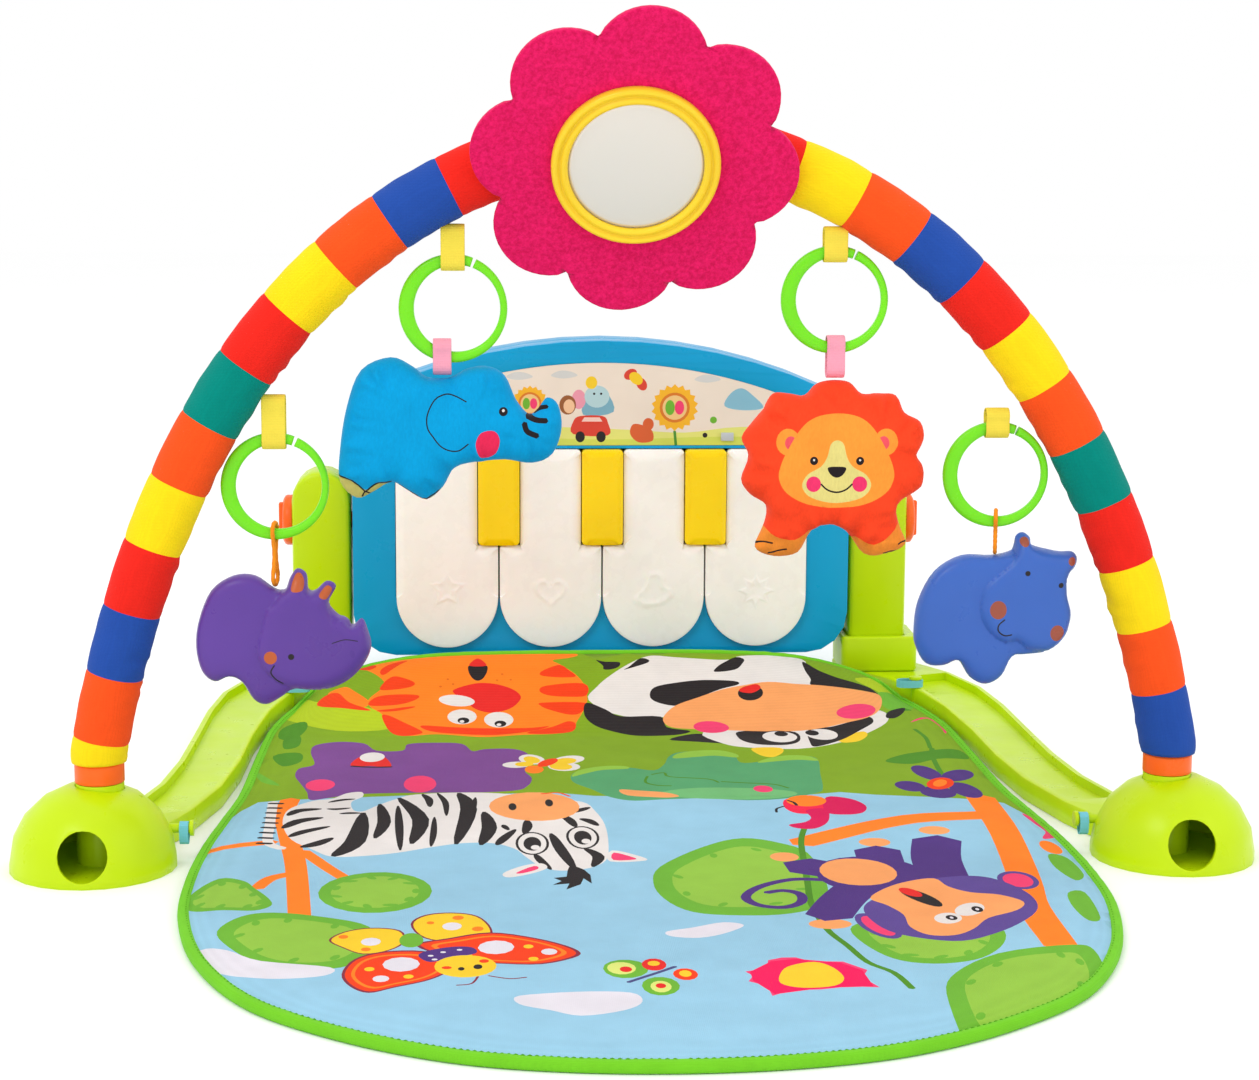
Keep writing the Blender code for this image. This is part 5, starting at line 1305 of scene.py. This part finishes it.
def make_rhino():
    tan = srgb(196, 96, 50)
    head = blob((-11, 8), (-9, 16), (-4.5, 20), (0, 27), (4, 33), (8, 38), (13, 35), (14, 26), (18, 26),
        (24, 31), (29, 28), (25, 19), (28, 10), (33, 10), (37, 6), (43, 10), (46, 3), (48, -6), (42, -16),
        (32, -24), (18, -29), (4, -27), (-8, -20), (-14, -8))
    ears = (blob((5, 27), (7, 35), (10, 36), (12, 32), (11, 27)), blob((20, 24), (24, 29), (27, 27), (24, 22)))
    art = [
        (tan, ears[0]), (tan, ears[1]), (tan, ellipse(-6.6, -9.8, 3.6)), (BLACK, ellipse(4.7, -9.3, 1.7)),
        ink([(-4.5, -14), (-6.5, -18), (-4, -22), (0, -24.5)], 0.8),
        (srgb(92, 60, 150), ellipse(38, -8, 1.4, 2.2, 20)), ink([(27, -2), (34, 0), (41, -1)], 0.5)]
    make_teether("rhino", RHINO, head, art, srgb(98, 64, 156), "purple_plastic", -197.0, 130.0)


def make_hippo():
    tan = srgb(160, 84, 66)
    head = blob((-10, 13), (-7, 20), (2, 28), (8, 34), (9, 44), (14, 48), (19, 44), (20, 40), (30, 37),
        (38, 38), (44, 36), (44, 29), (39, 22), (40, 12), (42, 2), (39, -10), (30, -18), (18, -17), (10, -12),
        (4, -13), (-4, -8), (-10, 2))
    art = [
        (tan, ellipse(13.8, 43.5, 2.6)), (tan, ellipse(40.5, 32.5, 2.4)), (tan, ellipse(-1, 6, 4.7, 5.2)),
        (tan, ellipse(32.6, -7.4, 4.0, 4.6)), (BLACK, ellipse(15, 26.5, 1.5)), (BLACK, ellipse(34, 19.6, 1.5)),
        ink([(2.8, 0.5), (-0.5, -2.5), (-0.5, -6), (3, -8.5), (7, -8)], 0.8)]
    make_teether("hippo", HIPPO, head, art, srgb(62, 104, 190), "toy_blue_plastic", 199.0, 138.5)


# ---------------------------------------------------------------- flower
PETALS = 8
PETAL_CENTRE = 58.0               # distance of each round petal from the middle
PETAL_RADIUS = 30.3
FLOWER_TURN = math.radians(6)


def make_flower():
    """Eight-petalled felt flower with a ridged frame round its mirror."""
    outline = []
    for i in range(PETALS * 16):
        angle = 2 * math.pi * i / (PETALS * 16)
        off = math.radians((math.degrees(angle) + 22.5) % 45 - 22.5)
        bulge = math.sqrt(PETAL_RADIUS ** 2 - (PETAL_CENTRE * math.sin(off)) ** 2)
        reach = PETAL_CENTRE * math.cos(off) + bulge
        outline.append((reach * math.sin(angle + FLOWER_TURN), reach * math.cos(angle + FLOWER_TURN)))

    def fuzz(points, gaps, nearest):
        return np.array([1 + 0.10 * noise.noise((x / 3.1, y / 3.1, 1.0))
                         + 0.06 * noise.noise((x / 1.3, y / 1.3, 2.0)) for x, y in points])
    petals = pillow("felt_flower", outline, [], FELT, srgb(222, 26, 92), 2.5, 2.5, Matrix.Identity(4), 2.6,
                    (0.3, 0.8, 1.5, 2.6), crease=fuzz)
    for v in petals.data.vertices:
        reach = max(v.co.xy.length / MM - 45, 0.0) / 42
        v.co.z += reach ** 2 * 1.6 * MM * noise.noise((v.co.x * 18, v.co.y * 18, 6.0))
    petals.data.transform(FLOWER)
    settle(petals, "flower", "pink_felt", "flower_felt")
    face = FLOWER @ Matrix.Translation((0, 0, 2.8 * MM))
    profile = [(36.0, 3.0), (36.3, 4.6), (36.9, 5.6), (37.8, 6.1), (38.8, 6.0), (39.6, 5.3), (40.1, 4.4),
               (40.7, 4.1), (41.3, 4.5), (41.9, 5.3), (42.8, 5.8), (43.7, 5.6), (44.5, 4.8), (45.0, 3.6),
               (45.0, 0.2), (44.8, 0.0), (35.2, 0.0), (35.0, 0.2), (35.0, 1.2), (37.4, 1.2), (37.4, 3.0)]
    rim = lathe("mirror_rim", profile, 96, face, MIRROR_YELLOW)
    settle(rim, "flower", "yellow_plastic", "mirror_frame")
    sheet = [(0.0, 2.9), (18.0, 2.88), (34.0, 2.9), (37.1, 2.8), (37.1, 1.6), (0.0, 1.6)]
    disc = lathe("mirror_disc", sheet, 96, face, MIRROR)
    settle(disc, "flower", "mirror_film", "mirror")


# ---------------------------------------------------------------- piano
KEY_PITCH = 74.5
KEY_GAP = 1.2
KEY_TOP = 179.0
KEY_BOTTOM = 35.0
SHARP_HALF = 14.8
SHARP_BOTTOM = 110.0
SHARP_GAP = 0.7
KEY_FACE_Y = 0.3595
SHARP_FACE_Y = 0.3563
KEY_CORNER = 3.0
EMBLEM_RISE = 0.45                # a raised line shape on each white key
PIANO_TOP = 257.0
CROWN_RADIUS = 390.0
LABEL_HALF = 151.7
LABEL_CORNER = 12.0
LABEL_BOTTOM = 181.8
LABEL_INSET = 15.8                # label's top edge, below the shell's


def arc(cx, cy, radius, start, end, count):
    return [(cx + radius * math.cos(math.radians(start + (end - start) * i / count)),
             cy + radius * math.sin(math.radians(start + (end - start) * i / count))) for i in range(count + 1)]


def facing(y):
    """Frame of a flat piece that stands with its face at y and looks towards the mat."""
    return Matrix.Translation((0.0, y, 0.0)) @ Matrix.Rotation(math.pi / 2, 4, "X")


def slab(name, outline, art, material, plain, depth, swell, matrix, spacing, rims, forms=()):
    """A piece with a swelling front face, straight sides and a flat back."""
    outline = anticlockwise(outline)
    shapes = [(plain, loop) for loop, _ in forms] + list(art)
    flat, triangles, printed, rim = cut_print(outline, shapes, spacing, rims)
    points = np.array(flat)
    film = membrane(points, triangles, rim)
    height = rounded(film, swell, 2.5)
    for loop, rise in forms:
        held = inside(anticlockwise(loop), points)
        deep, _ = nearest_on(loop, points)
        height = height + held * rise * np.minimum(deep / 1.2, 1.0)
    height[rim] = 0.0
    verts = [(x, y, h) for (x, y), h in zip(flat, height)]
    palette = [plain] + [colour for colour, _ in shapes]
    colours = [palette[c] for c in printed]
    faces = list(triangles)
    loose = dict(open_edges(triangles))
    under = {}
    for i in loose:
        under[i] = len(verts)
        verts.append((flat[i][0], flat[i][1], -depth))
    for a, b in loose.items():
        faces.append((b, a, under[a], under[b]))
        colours.append(plain)
    start = next(iter(loose))
    ring = [start]
    while loose[ring[-1]] != start:
        ring.append(loose[ring[-1]])
    faces.append(tuple(under[i] for i in reversed(ring)))
    colours.append(plain)
    obj = make_object(name, [Vector(v) * MM for v in verts], faces, material, colours, matrix)
    sharpen(obj, 50)
    return obj


def sharpen(obj, degrees):
    """Mark edges sharper than the angle, so that smooth shading stops there."""
    def mark(work):
        for edge in work.edges:
            edge.smooth = len(edge.link_faces) < 2 or edge.calc_face_angle(0.0) < math.radians(degrees)
    rework(obj, mark)


def key_outline(index):
    centre = (index - 1.5) * KEY_PITCH
    half = (KEY_PITCH - KEY_GAP) / 2
    neck = KEY_PITCH / 2 - SHARP_HALF - SHARP_GAP
    left = neck if index > 0 else half
    right = neck if index < 3 else half
    notch = SHARP_BOTTOM - SHARP_GAP
    loop = arc(centre, KEY_BOTTOM + half, half, 180, 360, 40)
    if right != half:
        loop += arc(centre + half - 1.5, notch - 1.5, 1.5, 0, 90, 4) + [(centre + right, notch)]
    top = KEY_TOP - KEY_CORNER
    loop += arc(centre + right - KEY_CORNER, top, KEY_CORNER, 0, 90, 6)
    loop += arc(centre - left + KEY_CORNER, top, KEY_CORNER, 90, 180, 6)
    if left != half:
        loop += [(centre - left, notch)] + arc(centre - half + 1.5, notch - 1.5, 1.5, 90, 180, 4)
    return loop


def star(x, y, radius, points=5):
    loop = []
    for i in range(points * 2):
        reach = radius if i % 2 == 0 else radius * 0.5
        angle = math.pi / 2 + math.pi * i / points
        loop.append((x + reach * math.cos(angle), y + reach * math.sin(angle)))
    return loop


def heart(x, y, size):
    loop = []
    for i in range(28):
        t = 2 * math.pi * i / 28
        loop.append((x + size * math.sin(t) ** 3, y + size * (13 * math.cos(t) - 5 * math.cos(2 * t)
                                                              - 2 * math.cos(3 * t) - math.cos(4 * t)) / 16))
    return loop


def make_keys():
    """Pillowed white keys, each with a faint raised shape, and tall yellow ones."""
    for index in range(4):
        centre = (index - 1.5) * KEY_PITCH
        bell = blob((centre - 15, 70), (centre - 6, 80), (centre - 4, 90), (centre + 6, 90), (centre + 8, 80),
                    (centre + 16, 76), (centre + 8, 66), (centre - 8, 64))
        emblem = (star(centre, 78, 15), heart(centre, 76, 13), bell, star(centre, 76, 15, 8))[index]
        raised = [(emblem, EMBLEM_RISE), (scaled(emblem, 0.74), -EMBLEM_RISE)]
        key = slab(f"piano_key_{index + 1}", key_outline(index), [], WHITE_KEYS, srgb(252, 248, 242), 12.5, 2.4,
                   facing(KEY_FACE_Y), 2.6, (0.3, 0.9, 1.8, 3.2), raised)
        settle(key, f"key_{index + 1}", "white_plastic", f"white_key_{index + 1}")
    for index in range(3):
        x = (index - 1) * KEY_PITCH
        across, low, high = SHARP_HALF - KEY_CORNER, SHARP_BOTTOM + KEY_CORNER, KEY_TOP - KEY_CORNER
        outline = []
        for side, z, start in ((1, high, 0), (-1, high, 90), (-1, low, 180), (1, low, 270)):
            outline += arc(x + side * across, z, KEY_CORNER, start, start + 90, 6)
        key = slab(f"piano_sharp_{index + 1}", outline, [], YELLOW_KEYS, srgb(255, 216, 0), 20.0, 1.9,
                   facing(SHARP_FACE_Y), 2.2, (0.3, 0.8, 1.6))
        settle(key, "piano", "yellow_plastic", f"yellow_key_{index + 1}")


def label_outline():
    crown = CROWN_RADIUS - LABEL_INSET
    crown_z = PIANO_TOP - CROWN_RADIUS
    reach = LABEL_HALF - LABEL_CORNER
    shoulder = crown_z + math.sqrt((crown - LABEL_CORNER) ** 2 - reach ** 2)
    lean = math.degrees(math.asin(reach / (crown - LABEL_CORNER)))
    foot, low = LABEL_HALF - KEY_CORNER, LABEL_BOTTOM + KEY_CORNER
    return (arc(foot, low, KEY_CORNER, -90, 0, 4) + arc(reach, shoulder, LABEL_CORNER, 0, 90 - lean, 6)
            + arc(0.0, crown_z, crown, 90 - lean, 90 + lean, 30)[1:-1]
            + arc(-reach, shoulder, LABEL_CORNER, 90 + lean, 180, 6) + arc(-foot, low, KEY_CORNER, 180, 270, 4))


def label_art():
    """A meadow with a car, sunflowers, sweets, clouds and two small beasts."""
    art = [
        (srgb(222, 222, 120), blob((-156, 180), (-156, 194), (-120, 197), (-80, 194), (-30, 195), (20, 193),
            (60, 191), (100, 195), (156, 192), (156, 180))),
        (srgb(206, 214, 92), blob((-156, 178), (-156, 187), (-90, 189), (0, 186), (90, 188), (156, 185),
            (156, 178)))]
    grey = srgb(206, 206, 204)
    for x, z in ((-60, 231), (-28, 232), (75, 229), (-110, 224)):
        art.append((grey, blob((x - 9, z), (x - 3, z + 3.5), (x + 5, z + 3), (x + 10, z), (x, z - 2))))
    for x, z, r in ((52, 209, 17), (-52, 212, 13), (-118, 210, 12)):
        petals = []
        for i in range(36):
            reach = r if i % 2 else r * 0.86
            petals.append((x + reach * math.cos(math.pi * i / 18), z + reach * math.sin(math.pi * i / 18)))
        art += [
            (srgb(74, 140, 50), stroke([(x, z - r), (x + 1, 182)], 2)), (srgb(240, 178, 40), petals),
            (srgb(214, 120, 40), ellipse(x, z, r * 0.64)), (srgb(236, 196, 130), ellipse(x, z, r * 0.52)),
            (LEAF, ellipse(x - r * 0.2, z, r * 0.2, r * 0.32)),
            (PINK, ellipse(x + r * 0.2, z, r * 0.2, r * 0.3))]
    red = srgb(214, 66, 50)
    art += [
        (srgb(120, 170, 190), blob((-14, 204), (-10, 220), (2, 221), (8, 206))),
        (srgb(228, 150, 170), ellipse(-17, 215, 5, 7)), (srgb(176, 206, 212), ellipse(-4, 217, 9, 8)),
        (BLACK, ellipse(-6, 219, 0.9, count=8)), (BLACK, ellipse(-1, 219, 0.9, count=8)),
        (YELLOW, ellipse(-8, 227, 4.2, 4.6)), (srgb(150, 90, 50), ellipse(-25, 211, 6, 7)),
        (srgb(236, 190, 150), ellipse(-24, 210, 4, 5)),
        (red, blob((-21, 190), (-21, 199), (-16, 203), (0, 203), (4, 198), (4, 189))),
        (srgb(240, 200, 190), [(-15, 199), (-13, 202), (-2, 202), (0, 199)]),
        (BLACK, ellipse(-16, 188, 3.4, 4)), (BLACK, ellipse(-1, 188, 3.4, 4)),
        (red, ellipse(20, 233, 5, 3.6, 30)), (red, ellipse(28, 226, 5, 3.6, -60)),
        (YELLOW, ellipse(24, 230, 5.4, 4, -40)),
        (srgb(214, 96, 50), blob((20, 190), (22, 197), (30, 196), (36, 192), (36, 185), (26, 184))),
        (srgb(214, 96, 50), ellipse(33, 197, 4, 4.5)),
        (srgb(132, 184, 206), blob((88, 210), (92, 219), (100, 223), (108, 218), (116, 209), (102, 207))),
        (LEAF, ellipse(80, 200, 2.5)), (BLACK, ellipse(74, 189, 1.8)),
        (srgb(132, 184, 206), blob((-96, 190), (-94, 200), (-84, 206), (-74, 200), (-72, 190))),
        (red, blob((-146, 188), (-144, 196), (-136, 200), (-130, 194), (-130, 187)))]
    return art


def make_label():
    face = slab("picture_label", label_outline(), label_art(), LABEL, srgb(232, 218, 204), 0.7, 0.05,
                facing(PIANO_Y + 0.0001), 9.0, ())
    settle(face, "piano", "label_print", "label_panel")


# ---------------------------------------------------------------- moulded parts
def refine(node, material, bevel, angle=32):
    """Material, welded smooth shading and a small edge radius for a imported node."""
    obj = NODES[node]
    obj.data.materials.clear()
    obj.data.materials.append(material)
    if "custom_normal" in obj.data.attributes:
        obj.data.attributes.remove(obj.data.attributes["custom_normal"])
    obj.data.polygons.foreach_set("use_smooth", [True] * len(obj.data.polygons))
    weld = obj.modifiers.new("Weld", "WELD")
    weld.merge_threshold = 0.00001
    if bevel:
        edge = obj.modifiers.new("Edge radius", "BEVEL")
        edge.width = bevel
        edge.segments = 2
        edge.limit_method = "ANGLE"
        edge.angle_limit = math.radians(angle)
        edge.use_clamp_overlap = True
    shade = obj.modifiers.new("Shade", "NODES")
    shade.node_group = SMOOTH_GROUP


def smoothing_group(degrees):
    """Node group that keeps smooth shading off edges sharper than the angle."""
    group = bpy.data.node_groups.new("smooth_by_angle", "GeometryNodeTree")
    group.interface.new_socket("Geometry", in_out="INPUT", socket_type="NodeSocketGeometry")
    group.interface.new_socket("Geometry", in_out="OUTPUT", socket_type="NodeSocketGeometry")
    start = group.nodes.new("NodeGroupInput")
    end = group.nodes.new("NodeGroupOutput")
    angle = group.nodes.new("GeometryNodeInputMeshEdgeAngle")
    compare = group.nodes.new("FunctionNodeCompare")
    compare.operation = "LESS_THAN"
    compare.inputs["B"].default_value = math.radians(degrees)
    faces = group.nodes.new("GeometryNodeSetShadeSmooth")
    edges = group.nodes.new("GeometryNodeSetShadeSmooth")
    edges.domain = "EDGE"
    group.links.new(start.outputs[0], faces.inputs["Geometry"])
    group.links.new(faces.outputs["Geometry"], edges.inputs["Geometry"])
    group.links.new(angle.outputs["Unsigned Angle"], compare.inputs["A"])
    group.links.new(compare.outputs["Result"], edges.inputs["Shade Smooth"])
    group.links.new(edges.outputs["Geometry"], end.inputs[0])
    return group


def finish_frame():
    for label in ("left", "right"):
        for node in ("dome_", "rail_", "column_", "collar_"):
            refine(node + label, LIME_PLASTIC, 0.0006)
        refine("dome_base_" + label, LIME_PLASTIC, 0)
        refine("arch_plug_" + label, ORANGE_PLASTIC, 0.0004)
        refine("knob_" + label, ORANGE_PLASTIC, 0.0004)
        refine("arch_rod_" + label, ROD_PLASTIC, 0)
        for place in ("ribbon_front_", "ribbon_rear_"):
            refine(place + label, BLUE_TAPE, 0)
    for node in ("piano_front", "piano_rear", "battery_door"):
        refine(node, BLUE_PLASTIC, 0.0005)
    refine("flower_band", FELT_BAND, 0)
    refine("mode_switch", GREY_PLASTIC, 0.0004)
    refine("circuit_board", BOARD, 0)
    refine("speaker", BLACK_PLASTIC, 0)
    for i in range(3):
        refine(f"battery_{i + 1}", STEEL, 0)


# ---------------------------------------------------------------- camera, floor and lights
CAMERA_PLACE = Vector((-0.0913, -1.4937, 0.4084))
CAMERA_YAW = math.radians(3.43)
CAMERA_PITCH = math.radians(9.035)
CAMERA_ROLL = math.radians(0.307)
CAMERA_LENS = 74.37
FLOOR_REACH = 7.0


def make_camera():
    data = bpy.data.cameras.new("camera")
    data.lens = CAMERA_LENS
    data.sensor_width = 36.0
    camera = bpy.data.objects.new("camera", data)
    level = math.cos(CAMERA_PITCH)
    forward = Vector((math.sin(CAMERA_YAW) * level, math.cos(CAMERA_YAW) * level, -math.sin(CAMERA_PITCH)))
    right = forward.cross(Z_AXIS).normalized()
    up = right.cross(forward)
    across = math.cos(CAMERA_ROLL) * right + math.sin(CAMERA_ROLL) * up
    rise = -math.sin(CAMERA_ROLL) * right + math.cos(CAMERA_ROLL) * up
    matrix = Matrix((across, rise, -forward)).transposed().to_4x4()
    matrix.translation = CAMERA_PLACE
    camera.matrix_world = matrix
    bpy.context.scene.collection.objects.link(camera)
    bpy.context.scene.camera = camera


def area_light(name, place, target, size, power):
    data = bpy.data.lights.new(name, "AREA")
    data.shape = "DISK"
    data.size = size
    data.energy = power
    light = bpy.data.objects.new(name, data)
    light.location = place
    light.rotation_euler = (Vector(target) - Vector(place)).to_track_quat("-Z", "Y").to_euler()
    bpy.context.scene.collection.objects.link(light)


def make_studio():
    shader = Shader("studio_floor", Roughness=1.0, Specular_IOR_Level=0.0)
    clouding = shader.remap(shader.noise(3.0, 2.0), 0.998, 1.002)
    shader.link(shader.tint((0.99, 0.99, 0.99), clouding), "Base Color")
    corners = [(FLOOR_REACH * x, FLOOR_REACH * y, 0) for x, y in ((-1, -1), (1, -1), (1, 1), (-1, 1))]
    floor = make_object("floor", corners, [(0, 1, 2, 3)], shader.material)
    world = bpy.data.worlds.new("studio")
    world.use_nodes = True
    background = world.node_tree.nodes["Background"]
    background.inputs["Color"].default_value = (1.0, 1.0, 1.0, 1.0)
    background.inputs["Strength"].default_value = 1.0
    bpy.context.scene.world = world
    bpy.context.scene.view_settings.view_transform = "Standard"
    area_light("key", (-1.3, -1.6, 2.2), (0.0, 0.0, 0.15), 1.2, 17.0)
    area_light("fill", (1.7, -1.2, 1.5), (0.0, 0.0, 0.15), 1.6, 4.0)
    area_light("top", (0.1, 0.5, 2.6), (0.0, 0.0, 0.0), 1.6, 6.0)


# ---------------------------------------------------------------- everything
LIME_PLASTIC = plastic("lime_plastic", srgb(194, 224, 4))
ORANGE_PLASTIC = plastic("orange_plastic", srgb(255, 104, 26))
ROD_PLASTIC = plastic("rod_plastic", srgb(230, 230, 226), 0.4)
BLUE_PLASTIC = plastic("piano_blue", srgb(0, 156, 208), 0.3, 0.0)
GREEN_PLASTIC = plastic("ring_green", srgb(120, 226, 30), 0.24, 0.2)
MIRROR_YELLOW = plastic("mirror_yellow", srgb(246, 208, 46))
GREY_PLASTIC = plastic("switch_grey", srgb(190, 196, 202), 0.35)
BLACK_PLASTIC = plastic("speaker_black", srgb(34, 34, 36), 0.5, 0.0)
BOARD = plastic("board_green", srgb(30, 110, 60), 0.45, 0.0)
STEEL = metal("cell_steel", srgb(190, 192, 196))
PRINTED_CLOTH = cloth("mat_print", None, 0.0009, 0.05, mottle=0.04)
PRINTED_SLEEVE = cloth("sleeve_print", None, 0.0008, 0.05, 0.00018, 0.06)
LIME_CLOTH = cloth("binding_cloth", srgb(116, 200, 40), 0.0007)
THREAD = cloth("thread", srgb(96, 176, 34), 0.0004)
YELLOW_TAPE = cloth("yellow_tape", srgb(238, 216, 76), 0.0009)
PINK_TAPE = cloth("pink_tape", srgb(240, 160, 180), 0.0009)
BLUE_TAPE = cloth("blue_tape", srgb(120, 200, 222), 0.0009)
ORANGE_STRING = cloth("orange_string", srgb(246, 146, 34), 0.0005)
PLUSH = plush("plush")
FELT = felt("felt")
FELT_BAND = felt("felt_band")
MIRROR = mirror_film()
PRINTED_PLASTIC = printed_plastic("toy_paint", 0.3)
WHITE_KEYS = printed_plastic("key_white", 0.26, 0.15)
YELLOW_KEYS = printed_plastic("key_yellow", 0.28)
LABEL = printed_plastic("label_paper", 0.42, 0.0)
SMOOTH_GROUP = smoothing_group(34)

for build in (make_camera, make_studio, finish_frame, make_mat, make_binding, make_cover, make_hangers,
              make_elephant, make_lion, make_rhino, make_hippo, make_flower, make_keys, make_label):
    build()
